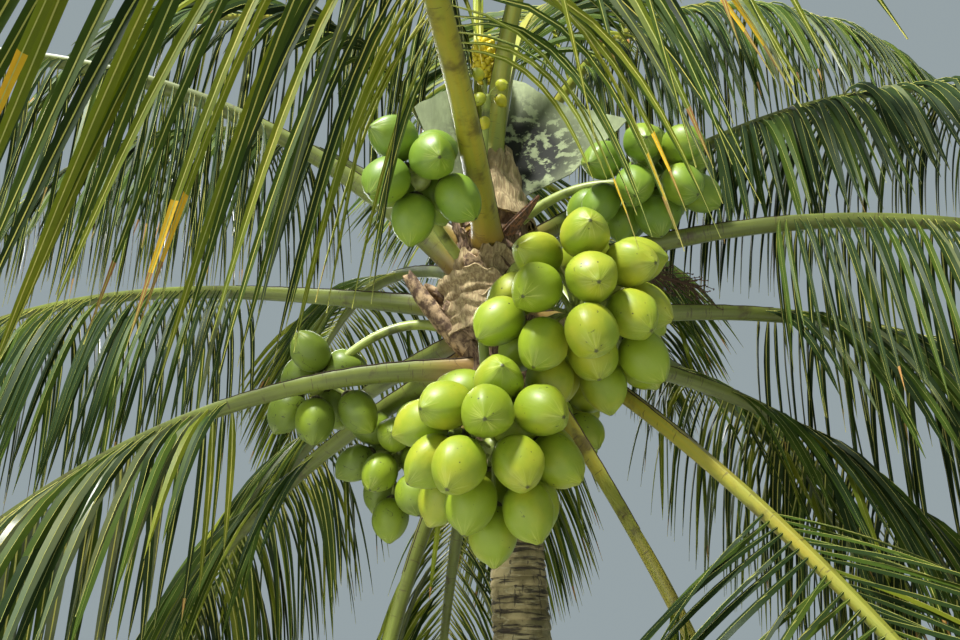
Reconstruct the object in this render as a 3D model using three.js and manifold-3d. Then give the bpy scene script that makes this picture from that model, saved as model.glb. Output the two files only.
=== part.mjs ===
// A dwarf coconut palm, rooted in level ground: one leaning ringed trunk, arching fronds with
// comb-like leaflets, and bunches of green coconuts that hang on stalks between the frond bases.
// Units are millimetres and degrees, +Z is up, and the origin is the middle of the trunk's flat foot.
// Azimuth 0 points along +X and 90 along +Y.

import * as THREE from "three";
import { mergeVertices } from "three/addons/utils/BufferGeometryUtils.js";
import Module from "manifold-3d";

const wasm = await Module();
wasm.setup();

const CLEARANCE = 0.3; // gap between two solids that meet
const LEAST_GAP = 0.24; // gap below which two solids count as touching
const ROOM_GAP = 0.45; // clearance round a rib that later pieces are cut back to
const NUT_ROOM = 3; // clearance that the nuts keep to ribs and trunk
const UP = new THREE.Vector3(0, 0, 1);

// Trunk: a ringed stem with a root flare, and above it the column of frond sheaths round the heart.
const TRUNK = {
  sides: 12,
  rings: 22,
  height: 3740,
  lean: 1.35e-5, // sideways drift to -X for each square millimetre of height
  footRadius: 116,
  stemTaper: 0.0048, // radius lost for each millimetre of height
  flare: 78,
  flareHeight: 210,
  crownFrom: 2420,
  crownFull: 2800,
  crownTop: 3180,
  crownRadius: 128,
  heartRadius: 62,
};
const SPEAR = {
  sides: 6,
  height: 1900,
  radius: 34,
  lean: 5,
  azimuth: 100,
  heights: [0, 0.3, 0.6, 0.86, 1],
  girths: [1, 0.9, 0.72, 0.42, 0.08],
};

// Rib of a frond: its width and its depth at the foot, where the leaflets start, and at the tip.
const RIB = {
  width: [122, 82, 12],
  depth: [74, 52, 12],
  petiole: 0.29, // bare stretch at the foot, as a share of the frond
  undercut: 0.55, // width of its underside, where 1 is the width of its top
  sunk: 26, // depth of its foot in the trunk, before it is cut back
  crowding: 1.12, // how much closer the leaflets stand towards the tip, where 1 is evenly
};
const LEAFLET = {
  longest: 1160,
  footShare: 0.7, // length of the first leaflet, as a share of the longest
  tipShare: 0.34,
  longestAt: 0.36, // place of the longest leaflet, as a share of the leafy stretch
  spread: [74, 52, 20], // angle to the rib at the first, middle and last leaflet
  raise: [-14, 24], // how far a leaflet is turned up at its root, on a limp and on a stiff frond
  sag: [0.42, 0.08], // pull of its weight before its elbow, on a limp and on a stiff frond
  hang: [2.4, 0.5], // and past it
  elbowAt: 0.46, // place where the modelled leaflet bends, as a share of its length
  elbowWidth: 0.62, // width there, as a share of the spacing
  thickness: 12,
};
const LEAFLETS_A_SIDE = 11;
const SPINE_STEPS = 48;
const PETIOLE_STATIONS = [0, 0.5]; // shares of the bare stretch below the leaflets
// Ways to hang that a leaflet tries until it is clear of its neighbours: its length and its hang.
const HANGS = [[1, 1], [1, 0.5], [0.8, 1.5], [0.7, 0.8], [0.5, 1]];
const GROUND_ROOM = 60; // lowest a leaflet's tip may hang
const OBSTACLE_STEP = 0.04; // stretch of rib that one obstacle covers, as a share of the frond
const SLIVER = 2; // volume below which two leaflets of one rib only touch at their roots

// Fronds from the youngest to the oldest. foot is the height at which a frond leaves the trunk,
// rise and fall are the slopes of its first and last stretch, curl is how late it bends, swing is
// how far it turns sideways, stiff is how little its leaflets hang, and roll is how far its right
// side is turned up.
const FRONDS = [
  { azimuth: 62, foot: 3570, rise: 80, fall: 5, length: 3900, curl: 1.8, swing: 0, stiff: 0.8, roll: 0 },
  { azimuth: -68, foot: 3560, rise: 80, fall: -35, length: 3900, curl: 1.5, swing: 26, stiff: 0.7, roll: 0 },
  { azimuth: 165, foot: 3400, rise: 76, fall: -48, length: 4000, curl: 1.5, swing: 0, stiff: 0.3, roll: 0 },
  { azimuth: 14, foot: 3450, rise: 75, fall: -48, length: 4100, curl: 1.5, swing: 0, stiff: 0.3, roll: 0 },
  { azimuth: 96, foot: 3380, rise: 60, fall: -35, length: 4000, curl: 1.6, swing: -10, stiff: 0.6, roll: 0 },
  { azimuth: -145, foot: 3420, rise: 85, fall: -50, length: 4000, curl: 1.9, swing: 0, stiff: 0.4, roll: 0 },
  { azimuth: 9, foot: 3330, rise: 37, fall: -22, length: 4050, curl: 2.2, swing: 0, stiff: 0.3, roll: 0 },
  { azimuth: -95, foot: 3290, rise: 3, fall: -42, length: 4050, curl: 1.5, swing: -9, stiff: 0.1, roll: -34 },
  { azimuth: 158, foot: 3360, rise: 46, fall: -45, length: 4050, curl: 1.8, swing: 0, stiff: 0.4, roll: 0 },
  { azimuth: 60, foot: 3280, rise: 40, fall: -50, length: 4000, curl: 1.6, swing: 6, stiff: 0.4, roll: 0 },
  { azimuth: 118, foot: 3230, rise: 32, fall: -55, length: 4000, curl: 1.6, swing: 0, stiff: 0.3, roll: 0 },
  { azimuth: 200, foot: 3150, rise: 42, fall: -66, length: 3950, curl: 1.25, swing: 0, stiff: 0.2, roll: 0 },
  { azimuth: -12, foot: 3150, rise: 16, fall: -66, length: 3950, curl: 1.3, swing: 0, stiff: 0.1, roll: 0 },
  { azimuth: 168, foot: 3045, rise: 12, fall: -50, length: 3950, curl: 2.2, swing: 0, stiff: 0.1, roll: 0 },
  { azimuth: 85, foot: 3060, rise: 12, fall: -62, length: 3900, curl: 1.5, swing: 0, stiff: 0.1, roll: 0 },
  { azimuth: 5, foot: 2965, rise: 10, fall: -62, length: 3850, curl: 1.5, swing: 0, stiff: 0.1, roll: 0 },
  { azimuth: 38, foot: 3055, rise: 6, fall: -66, length: 3850, curl: 1.4, swing: 4, stiff: 0.1, roll: 0 },
  { azimuth: 130, foot: 2950, rise: 4, fall: -68, length: 3800, curl: 1.3, swing: 0, stiff: 0.1, roll: 0 },
  { azimuth: 21, foot: 2870, rise: 4, fall: -70, length: 3750, curl: 1.2, swing: 3, stiff: 0.0, roll: 0 },
  { azimuth: 99, foot: 2850, rise: -12, fall: -74, length: 3600, curl: 1.0, swing: 0, stiff: 0.0, roll: 0 },
  { azimuth: -40, foot: 2940, rise: -38, fall: -68, length: 3200, curl: 1.0, swing: 0, stiff: 0.8, roll: -50 },
  { azimuth: 148, foot: 2835, rise: -12, fall: -72, length: 3300, curl: 1.1, swing: 0, stiff: 0.0, roll: 0 },
  { azimuth: 185, foot: 2740, rise: 2, fall: -78, length: 3500, curl: 1.0, swing: 0, stiff: 0.0, roll: 0 },
  { azimuth: -16, foot: 2800, rise: -58, fall: -80, length: 2750, curl: 1.0, swing: 0, stiff: 0.0, roll: 0 },
  { azimuth: 192, foot: 2600, rise: -52, fall: -90, length: 2450, curl: 0.45, swing: 0, stiff: 0.0, roll: 0 },
];
const SPLIT_AT = 0.5; // a frond that bends more than SPLIT_BEND is two solids, parted here
const SPLIT_BEND = 64;

// Bunches: middle is where the stalk ends among the nuts, azimuth and foot are where the stalk
// leaves the trunk, shell is the distance of the nuts from the middle, across and up, open is the
// share of that shell that they cover, and size is their size, where 1 is full grown.
const NUT = {
  width: 172,
  length: 196,
  sides: 6,
  stations: [0.2, 0.52, 0.84],
  strand: 9,
  calyx: 1.6, // width of the strand's end at the nut, where 1 is its own width
  apart: 1,
  hang: 0.7, // how far the nuts point down rather than out
  pole: [0.8, -0.6], // middle of the shell's covered side: how far out from the trunk, and up
};
const SETTLE = { rounds: 120, pulled: 0.7, pull: 0.06 }; // how the nuts shoulder each other aside
const BUNCHES = [
  {
    name: "bunch_young", nuts: 6, size: 0.34, middle: [-160, -300, 4000], shell: [85, 140], open: 1, turn: 0,
    azimuth: -100, foot: 3470, knee: 0.2,
  },
  {
    name: "bunch_upper_left", nuts: 8, size: 0.98, middle: [-412, -740, 3225], shell: [110, 125], open: 0.9,
    turn: 0.4, azimuth: -140, foot: 3180, knee: 0.5,
  },
  {
    name: "bunch_upper_right", nuts: 16, size: 0.96, middle: [480, -340, 3480], shell: [220, 140], open: 0.75,
    turn: 0, azimuth: -36, foot: 3390, knee: 0.5,
  },
  {
    name: "bunch_front", nuts: 23, size: 1, middle: [145, -600, 2745], shell: [230, 215], open: 0.66,
    turn: 0, azimuth: -75, foot: 3050, knee: 0.5,
  },
  {
    name: "bunch_lower_front", nuts: 19, size: 1, middle: [-150, -540, 2275], shell: [190, 205], open: 0.72,
    turn: 0.5, azimuth: -105, foot: 2820, knee: 0.5,
  },
  {
    name: "bunch_lower_left", nuts: 12, size: 0.94, middle: [-565, 260, 2430], shell: [95, 205], open: 0.9,
    turn: 0, azimuth: 160, foot: 2655, knee: 0.5,
  },
  {
    name: "bunch_left", nuts: 9, size: 1, middle: [-900, 30, 2700], shell: [160, 140], open: 1,
    turn: 0, azimuth: 176, foot: 2900, knee: 0.5,
  },
  {
    name: "bunch_back", nuts: 12, size: 1, middle: [170, 540, 2740], shell: [170, 180], open: 0.8,
    turn: 0, azimuth: 61, foot: 3130, knee: 0.5,
  },
];
const STALK = {
  sides: 5,
  radius: [26, 17],
  steps: 6,
  sunk: 22, // depth of its foot in the trunk, before it is cut back
  arch: 0.34, // how high its knee stands, as a share of its span
  knot: 96, // height of the knot at its end, from which the strands spread
  sink: 0.3, // place where the strands start, as a share of the knot
};

// Torn sheets of leaf sheath, each by its lower and upper corners, left before right.
const CLOTHS = [
  {
    name: "sheath_cloth_right",
    corners: [[-120, -20, 3560], [230, -130, 3690], [-20, -10, 4400], [520, -180, 3980]],
    columns: 8,
    torn: 0.3,
    bow: 50,
  },
  {
    name: "sheath_cloth_left",
    corners: [[-330, -140, 3560], [-230, -60, 3560], [-520, -160, 4080], [-230, -80, 4340]],
    columns: 6,
    torn: 0.35,
    bow: -30,
  },
];
const CLOTH = { rows: 3, thickness: 7, bowed: 0.7 };

// A dry spathe in front of the heart, and a dry flower stalk that sticks out to the right.
const SPATHE = {
  points: [[-112, -66, 3325], [-60, -195, 3365], [60, -285, 3465]],
  radius: 30,
  girths: [0.7, 1, 1, 0.7, 0.12],
  sides: 6,
};
const FLOWER = {
  points: [[0, 6, 3195], [250, 20, 3265], [520, 20, 3255], [800, 10, 3170]],
  radius: [19, 8],
  sides: 5,
  steps: 6,
  twigs: 11,
  twigsFrom: 0.42,
  twigsTo: 0.97,
  twigLength: [330, 150],
  twigRadius: 6,
  spread: 0.55,
  droop: 0.5,
};

const DEGREE = Math.PI / 180;
const GOLDEN_ANGLE = Math.PI * (3 - Math.sqrt(5));
const mix = THREE.MathUtils.lerp;
const smooth = THREE.MathUtils.smoothstep;
const vec = (x, y, z) => new THREE.Vector3(x, y, z);
const plus = (point, direction, distance) => point.clone().addScaledVector(direction, distance);
const heading = (azimuth) => vec(Math.cos(azimuth * DEGREE), Math.sin(azimuth * DEGREE), 0);

// Solids from vertices and faces

function solidOf(points, faces) {
  const vertProperties = new Float32Array(points.flatMap((p) => [p.x, p.y, p.z]));
  const triVerts = new Uint32Array(faces.flatMap(fan));
  return new wasm.Manifold(new wasm.Mesh({ numProp: 3, vertProperties, triVerts }));
}

function fan(face) {
  return face.slice(2).flatMap((corner, i) => [face[0], face[i + 1], corner]);
}

// A closed skin over rings of equal count, which run anticlockwise as seen from the last one.
// Each end is flat, or comes to the point that is given for it.
function loft(rings, footPoint, tipPoint) {
  const count = rings[0].length;
  const points = rings.flat();
  const lastBase = points.length - count;
  const faces = [];
  for (let base = 0; base < lastBase; base += count)
    for (let k = 0; k < count; k++) {
      const next = (k + 1) % count;
      faces.push([base + k, base + next, base + count + next]);
      faces.push([base + k, base + count + next, base + count + k]);
    }
  const firstRing = [...rings[0].keys()].reverse();
  const lastRing = [...rings[0].keys()].map((k) => lastBase + k);
  faces.push(...endFaces(firstRing, points, footPoint), ...endFaces(lastRing, points, tipPoint));
  return solidOf(points, faces);
}

function endFaces(corners, points, point) {
  if (!point) return [corners];
  const apex = points.push(point) - 1;
  return corners.map((corner, k) => [corner, corners[(k + 1) % corners.length], apex]);
}

// A ring of points round a place, square to a direction.
function ring(place, direction, radius, sides) {
  const seed = Math.abs(direction.z) > 0.9 ? vec(1, 0, 0) : UP;
  const a = seed.clone().cross(direction).normalize();
  const b = direction.clone().cross(a);
  return Array.from({ length: sides }, (_, k) => {
    const turn = (2 * Math.PI * k) / sides;
    return plus(plus(place, a, radius * Math.cos(turn)), b, radius * Math.sin(turn));
  });
}

// A tapered limb along a curve, from radius[0] to radius[1].
function limb(curve, radius, sides, steps) {
  const rings = Array.from({ length: steps + 1 }, (_, i) => {
    const t = i / steps;
    return ring(curve.getPoint(t), curve.getTangent(t), mix(radius[0], radius[1], t), sides);
  });
  return loft(rings);
}

function geometryOf(solid) {
  const mesh = solid.getMesh();
  const geometry = new THREE.BufferGeometry();
  geometry.setAttribute("position", new THREE.BufferAttribute(new Float32Array(mesh.vertProperties), 3));
  geometry.setIndex(new THREE.BufferAttribute(new Uint32Array(mesh.triVerts), 1));
  const merged = mergeVertices(geometry, 1e-3);
  merged.computeVertexNormals();
  return merged;
}

// Trunk

function trunkMiddle(z) {
  return vec(-TRUNK.lean * z * z, 0, z);
}

function trunkRadius(z) {
  const stem = TRUNK.footRadius - TRUNK.stemTaper * z + TRUNK.flare * Math.exp(-z / TRUNK.flareHeight);
  const crown = mix(stem, TRUNK.crownRadius, smooth(z, TRUNK.crownFrom, TRUNK.crownFull));
  return mix(crown, TRUNK.heartRadius, smooth(z, TRUNK.crownTop, TRUNK.height));
}

function trunkSolid(extra) {
  const rings = Array.from({ length: TRUNK.rings + 1 }, (_, i) => {
    const z = TRUNK.height * (i / TRUNK.rings) ** 1.2;
    const lift = i === TRUNK.rings ? extra : 0;
    return ring(trunkMiddle(z + lift), UP, trunkRadius(z) + extra, TRUNK.sides);
  });
  return loft(rings);
}

function spearSolid() {
  const foot = trunkMiddle(TRUNK.height + CLEARANCE);
  const lean = heading(SPEAR.azimuth).multiplyScalar(Math.sin(SPEAR.lean * DEGREE)).add(UP).normalize();
  return loft(
    SPEAR.heights.map((share, i) => {
      const place = plus(foot, lean, SPEAR.height * share);
      return ring(place, UP, SPEAR.radius * SPEAR.girths[i], SPEAR.sides);
    }),
  );
}

// Frond ribs

function spineOf(frond) {
  const step = frond.length / SPINE_STEPS;
  const start = plus(trunkMiddle(frond.foot), heading(frond.azimuth), trunkRadius(frond.foot) - RIB.sunk);
  const spine = [start];
  for (let i = 0; i < SPINE_STEPS; i++) {
    const { along } = directionsAt(frond, (i + 0.5) / SPINE_STEPS);
    spine.push(plus(spine[i], along, step));
  }
  return spine;
}

function directionsAt(frond, share) {
  const slope = mix(frond.rise, frond.fall, Math.max(0, share) ** frond.curl) * DEGREE;
  const out = heading(frond.azimuth + frond.swing * share);
  const along = plus(UP.clone().multiplyScalar(Math.sin(slope)), out, Math.cos(slope));
  const side = out.clone().cross(UP);
  return { along, side, up: side.clone().cross(along) };
}

function stationAt(frond, spine, distance) {
  const place = (distance / frond.length) * SPINE_STEPS;
  const i = Math.min(Math.max(Math.floor(place), 0), SPINE_STEPS - 1);
  const point = spine[i].clone().lerp(spine[i + 1], place - i);
  return { point, ...directionsAt(frond, distance / frond.length) };
}

function ribSize(sizes, frond, distance) {
  const leafy = RIB.petiole * frond.length;
  if (distance < leafy) return mix(sizes[0], sizes[1], smooth(distance, 0, leafy));
  return mix(sizes[1], sizes[2], (distance - leafy) / (frond.length - leafy));
}

// The rib's section, a flat-topped trapezium: right top, right foot, left foot, left top.
function ribCorners(frond, spine, distance, extra) {
  const { point, side, up } = stationAt(frond, spine, distance);
  const half = ribSize(RIB.width, frond, distance) / 2 + extra;
  const depth = ribSize(RIB.depth, frond, distance) / 2 + extra;
  const corner = (across, rise) => plus(plus(point, side, across), up, rise);
  return {
    rightTop: corner(half, depth),
    rightFoot: corner(half * RIB.undercut, -depth),
    leftFoot: corner(-half * RIB.undercut, -depth),
    leftTop: corner(-half, depth),
  };
}

function leafyStations(frond) {
  const leafy = RIB.petiole * frond.length;
  return Array.from({ length: LEAFLETS_A_SIDE + 1 }, (_, i) => {
    const share = 1 - (1 - i / LEAFLETS_A_SIDE) ** RIB.crowding;
    return mix(leafy, frond.length, share);
  });
}

// Leaflets

function leafletLength(share) {
  const before = Math.min(share / LEAFLET.longestAt, 1);
  const after = Math.max((share - LEAFLET.longestAt) / (1 - LEAFLET.longestAt), 0);
  const grown = mix(LEAFLET.footShare, 1, Math.sin((before * Math.PI) / 2));
  return LEAFLET.longest * mix(grown, LEAFLET.tipShare, after ** 1.6);
}

function leafletSpread(share) {
  const [first, middle, last] = LEAFLET.spread;
  return (share < 0.5 ? mix(first, middle, share * 2) : mix(middle, last, share * 2 - 1)) * DEGREE;
}

// Elbow ring and tip of the leaflet between two distances along the rib. reach scales its length
// and droop its hang, which are what a crowded leaflet gives up.
function leafletPoints(frond, spine, from, to, sign, reach, droop) {
  const leafy = RIB.petiole * frond.length;
  const share = (from - leafy) / (frond.length - leafy);
  const { point, along, side, up } = stationAt(frond, spine, (from + to) / 2);
  const spread = leafletSpread(share);
  const limp = (pair) => mix(pair[0], pair[1], frond.stiff);
  const raise = (limp(LEAFLET.raise) + sign * frond.roll) * DEGREE;
  const out = plus(side.clone().multiplyScalar(sign * Math.cos(raise)), up, Math.sin(raise));
  const aim = plus(along.clone().multiplyScalar(Math.cos(spread)), out, Math.sin(spread));
  const first = plus(aim, UP, -droop * limp(LEAFLET.sag)).normalize();
  const second = plus(aim, UP, -droop * limp(LEAFLET.hang)).normalize();
  const length = leafletLength(share) * reach;
  const elbow = plus(point, first, length * LEAFLET.elbowAt);
  const tip = plus(elbow, second, length * (1 - LEAFLET.elbowAt));
  const across = plus(along, first, -along.dot(first)).normalize();
  const face = first.clone().cross(across).multiplyScalar(sign);
  const halfWidth = ((to - from) * LEAFLET.elbowWidth * Math.sin(spread)) / 2;
  const corner = (width, rise) => plus(plus(elbow, across, width), face, rise);
  const half = LEAFLET.thickness / 2;
  const near = [corner(-halfWidth, -half), corner(-halfWidth, half)];
  const far = [corner(halfWidth, -half), corner(halfWidth, half)];
  return { tip, near, far };
}

// Faces of a leaflet over its root, elbow and tip indices. The root runs near foot, far foot,
// far top, near top on the right side of the rib, and the other way on the left.
function leafletFaces(root, elbow, tip) {
  const faces = [];
  for (let k = 0; k < 4; k++) {
    const next = (k + 1) % 4;
    faces.push([root[k], root[next], elbow[next]], [root[k], elbow[next], elbow[k]]);
    faces.push([elbow[k], elbow[next], tip]);
  }
  return faces;
}

function aroundLeaflet(near, far, sign) {
  return sign > 0 ? [near[0], far[0], far[1], near[1]] : [near[0], near[1], far[1], far[0]];
}

function rootEdge(corners, sign) {
  return sign > 0 ? [corners.rightFoot, corners.rightTop] : [corners.leftFoot, corners.leftTop];
}

function leafletSolid(near, far, shape, sign) {
  const root = aroundLeaflet(near, far, sign);
  const elbow = aroundLeaflet(shape.near, shape.far, sign);
  const faces = [...leafletFaces([0, 1, 2, 3], [4, 5, 6, 7], 8), [3, 2, 1, 0]];
  return solidOf([...root, ...elbow, shape.tip], faces);
}

// One stretch of a frond: its rib, with the leaflets that are given between two stations.
function bladeSolid(frond, spine, distances, leaflets, extra = 0) {
  const points = [];
  const add = (point) => points.push(point) - 1;
  const stations = distances.map((distance) => {
    const corners = ribCorners(frond, spine, distance, extra);
    return Object.fromEntries(Object.entries(corners).map(([name, point]) => [name, add(point)]));
  });
  const first = stations[0];
  const last = stations[stations.length - 1];
  const faces = [
    [first.leftFoot, first.rightFoot, first.rightTop, first.leftTop],
    [last.leftFoot, last.leftTop, last.rightTop, last.rightFoot],
  ];
  for (let i = 0; i + 1 < stations.length; i++) {
    const a = stations[i];
    const b = stations[i + 1];
    faces.push([a.leftTop, a.rightTop, b.rightTop, b.leftTop]);
    faces.push([a.leftFoot, b.leftFoot, b.rightFoot, a.rightFoot]);
    for (const sign of [1, -1]) {
      const root = aroundLeaflet(rootEdge(a, sign), rootEdge(b, sign), sign);
      const shape = leaflets.get(leafletKey(distances[i], sign));
      if (!shape) {
        faces.push(root);
        continue;
      }
      const elbow = aroundLeaflet(shape.near, shape.far, sign);
      faces.push(...leafletFaces(root, elbow.map(add), add(shape.tip)));
    }
  }
  return solidOf(points, faces);
}

const leafletKey = (distance, sign) => `${distance.toFixed(3)}:${sign}`;

// Room: the solids that are already in place, so that nothing grows into its neighbours

const claims = [];

function claim(solid, owner) {
  claims.push({ solid, owner, box: solid.boundingBox() });
  return solid;
}

function apart(a, b) {
  return [0, 1, 2].some((k) => a.min[k] > b.max[k] + 1 || b.min[k] > a.max[k] + 1);
}

const rooms = []; // the trunk and the ribs, each with a clearance round it

function addRoom(solid) {
  rooms.push({ solid, box: solid.boundingBox() });
}

// Cuts a solid back from the trunk and from the ribs that were there first, and keeps its main piece.
function cutBack(solid, roomCount = rooms.length) {
  const box = solid.boundingBox();
  const near = rooms.slice(0, roomCount).filter((room) => !apart(box, room.box));
  const pieces = near.reduce((rest, room) => rest.subtract(room.solid), solid).decompose();
  return pieces.reduce((best, piece) => (piece.volume() > best.volume() ? piece : best));
}

function isClear(solid, owner) {
  const box = solid.boundingBox();
  return claims.every((other) => {
    if (apart(box, other.box)) return true;
    if (other.owner === owner) return solid.intersect(other.solid).volume() < SLIVER;
    return solid.minGap(other.solid, 1) > LEAST_GAP;
  });
}

// Fronds: each has one or two parts, and each part its stations along the rib

function frondParts(frond, index) {
  const name = `frond_${String(index + 1).padStart(2, "0")}`;
  const spine = spineOf(frond);
  const leafy = leafyStations(frond);
  const bare = PETIOLE_STATIONS.map((share) => share * leafy[0]);
  if (frond.rise - frond.fall <= SPLIT_BEND)
    return [{ name, frond, spine, distances: [...bare, ...leafy] }];
  const bend = leafy.findIndex((distance) => distance >= SPLIT_AT * frond.length);
  const inner = [...bare, ...leafy.slice(0, bend + 1)];
  const outer = [leafy[bend] + CLEARANCE, ...leafy.slice(bend + 1)];
  return [
    { name: `${name}_inner`, frond, spine, distances: inner },
    { name: `${name}_outer`, frond, spine, distances: outer },
  ];
}

// Gives a part its leaflets, each in the first of the ways to hang that leaves it clear.
function growLeaflets(part) {
  const { frond, spine, distances, name } = part;
  const leaflets = new Map();
  const firstLeafy = RIB.petiole * frond.length - 1;
  for (let i = 0; i + 1 < distances.length; i++) {
    if (distances[i] < firstLeafy) continue;
    const near = ribCorners(frond, spine, distances[i], 0);
    const far = ribCorners(frond, spine, distances[i + 1], 0);
    for (const sign of [1, -1])
      for (const [reach, droop] of HANGS) {
        const shape = leafletPoints(frond, spine, distances[i], distances[i + 1], sign, reach, droop);
        if (shape.tip.z < GROUND_ROOM) continue;
        const solid = leafletSolid(rootEdge(near, sign), rootEdge(far, sign), shape, sign);
        if (!isClear(solid, name)) continue;
        claim(solid, name);
        leaflets.set(leafletKey(distances[i], sign), shape);
        break;
      }
  }
  return leaflets;
}

// Bunches

const obstacles = []; // round-ended rods that the nuts keep off: from, to and radius

function addObstacle(from, to, radius) {
  obstacles.push({ from, to, radius });
}

function nutTargets(bunch, middle, outward) {
  const pole = plus(outward.clone().multiplyScalar(NUT.pole[0]), UP, NUT.pole[1]).normalize();
  const east = pole.clone().cross(UP).normalize();
  const north = east.clone().cross(pole);
  return Array.from({ length: bunch.nuts }, (_, i) => {
    const height = 1 - (2 * bunch.open * (i + 0.5)) / bunch.nuts;
    const round = Math.sqrt(1 - height * height);
    const turn = i * GOLDEN_ANGLE + bunch.turn;
    const way = plus(pole.clone().multiplyScalar(height), east, round * Math.cos(turn));
    way.addScaledVector(north, round * Math.sin(turn));
    return middle.clone().add(vec(way.x * bunch.shell[0], way.y * bunch.shell[0], way.z * bunch.shell[1]));
  });
}

function pushOut(place, radius, rod) {
  const reach = rod.to.clone().sub(rod.from);
  const along = reach.lengthSq() ? place.clone().sub(rod.from).dot(reach) / reach.lengthSq() : 0;
  const nearest = plus(rod.from, reach, Math.min(Math.max(along, 0), 1));
  const away = place.clone().sub(nearest);
  const lack = radius + rod.radius - away.length();
  if (lack > 0) place.addScaledVector(away.normalize(), lack);
}

// Nuts spread over the shell, and then shoulder each other and whatever else is near aside.
function settleNuts(bunch, middle, outward) {
  const radius = nutRoom(bunch);
  const targets = nutTargets(bunch, middle, outward);
  const places = targets.map((target) => target.clone());
  for (let round = 0; round < SETTLE.rounds; round++) {
    const pull = round < SETTLE.rounds * SETTLE.pulled ? SETTLE.pull : 0;
    places.forEach((place, i) => place.lerp(targets[i], pull));
    for (let i = 0; i < places.length; i++)
      for (let j = i + 1; j < places.length; j++) {
        const away = places[j].clone().sub(places[i]);
        const lack = 2 * radius - away.length();
        if (lack <= 0) continue;
        away.normalize();
        places[i].addScaledVector(away, -lack / 2);
        places[j].addScaledVector(away, lack / 2);
      }
    for (const place of places) for (const rod of obstacles) pushOut(place, radius, rod);
  }
  return places;
}

const nutRoom = (bunch) => ((NUT.width + NUT.length) / 4) * bunch.size + NUT.apart;

function nutAxis(place, middle) {
  return plus(place.clone().sub(middle).normalize(), UP, -NUT.hang).normalize();
}

function nutRings(place, axis, size) {
  const half = (NUT.length * size) / 2;
  return NUT.stations.map((share) => {
    const height = share * 2 - 1;
    const radius = (Math.sqrt(1 - height * height) * NUT.width * size) / 2;
    return ring(plus(place, axis, height * half), axis, radius, NUT.sides);
  });
}

function podSolid(place, size) {
  const half = (NUT.length * size) / 2;
  return loft(nutRings(place, UP, size), plus(place, UP, -half), plus(place, UP, half));
}

// A nut and the three-sided strand that it hangs by, whose neck has one corner to two of the nut's.
function nutSolid(place, axis, size, root) {
  const half = (NUT.length * size) / 2;
  const strandFoot = ring(root, axis, NUT.strand, 3);
  const neck = ring(plus(place, axis, -half), axis, NUT.strand * NUT.calyx, 3);
  const shell = nutRings(place, axis, size);
  const points = [...strandFoot, ...neck, ...shell.flat()];
  const shellBase = 6;
  const lastBase = points.length - NUT.sides;
  const faces = [[2, 1, 0]];
  for (let k = 0; k < 3; k++) {
    const next = (k + 1) % 3;
    const [near, middle, far] = [2 * k, 2 * k + 1, (2 * k + 2) % NUT.sides].map((j) => shellBase + j);
    faces.push([k, next, 3 + next], [k, 3 + next, 3 + k]);
    faces.push([3 + k, 3 + next, middle], [3 + k, middle, near], [3 + next, far, middle]);
  }
  for (let base = shellBase; base < lastBase; base += NUT.sides)
    for (let k = 0; k < NUT.sides; k++) {
      const next = (k + 1) % NUT.sides;
      faces.push([base + k, base + next, base + NUT.sides + next]);
      faces.push([base + k, base + NUT.sides + next, base + NUT.sides + k]);
    }
  const rim = [...shell[0].keys()].map((k) => lastBase + k);
  faces.push(...endFaces(rim, points, plus(place, axis, half)));
  return solidOf(points, faces);
}

function strandSolid(from, to, radius) {
  const way = to.clone().sub(from).normalize();
  return loft([ring(from, way, radius, 3), ring(to, way, radius, 3)]);
}

function stalkCurve(bunch) {
  const middle = vec(...bunch.middle);
  const out = heading(bunch.azimuth);
  const start = plus(trunkMiddle(bunch.foot), out, trunkRadius(bunch.foot) - STALK.sunk);
  const span = middle.distanceTo(start);
  const knee = plus(plus(start, out, span * bunch.knee), UP, span * STALK.arch);
  return new THREE.QuadraticBezierCurve3(start, knee, middle);
}

function bunchSolid(bunch) {
  const middle = vec(...bunch.middle);
  const outward = middle.clone().sub(trunkMiddle(middle.z)).setZ(0).normalize();
  const stalk = limb(stalkCurve(bunch), STALK.radius, STALK.sides, STALK.steps);
  const knot = podSolid(middle, (STALK.knot / NUT.length) * bunch.size);
  const pieces = [cutBack(stalk), knot];
  for (const place of settleNuts(bunch, middle, outward)) {
    const axis = nutAxis(place, middle);
    const neck = plus(place, axis, (-NUT.length * bunch.size) / 2);
    const root = plus(middle, neck.sub(middle).normalize(), STALK.knot * STALK.sink * bunch.size);
    const nut = nutSolid(place, axis, bunch.size, root);
    if (!isClear(nut, bunch.name)) continue;
    pieces.push(nut);
    addObstacle(place, place, nutRoom(bunch));
  }
  return pieces.reduce((whole, piece) => whole.add(piece));
}

// Small pieces at the heart: torn sheath cloth, spathes and a flower stalk that has dried

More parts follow.
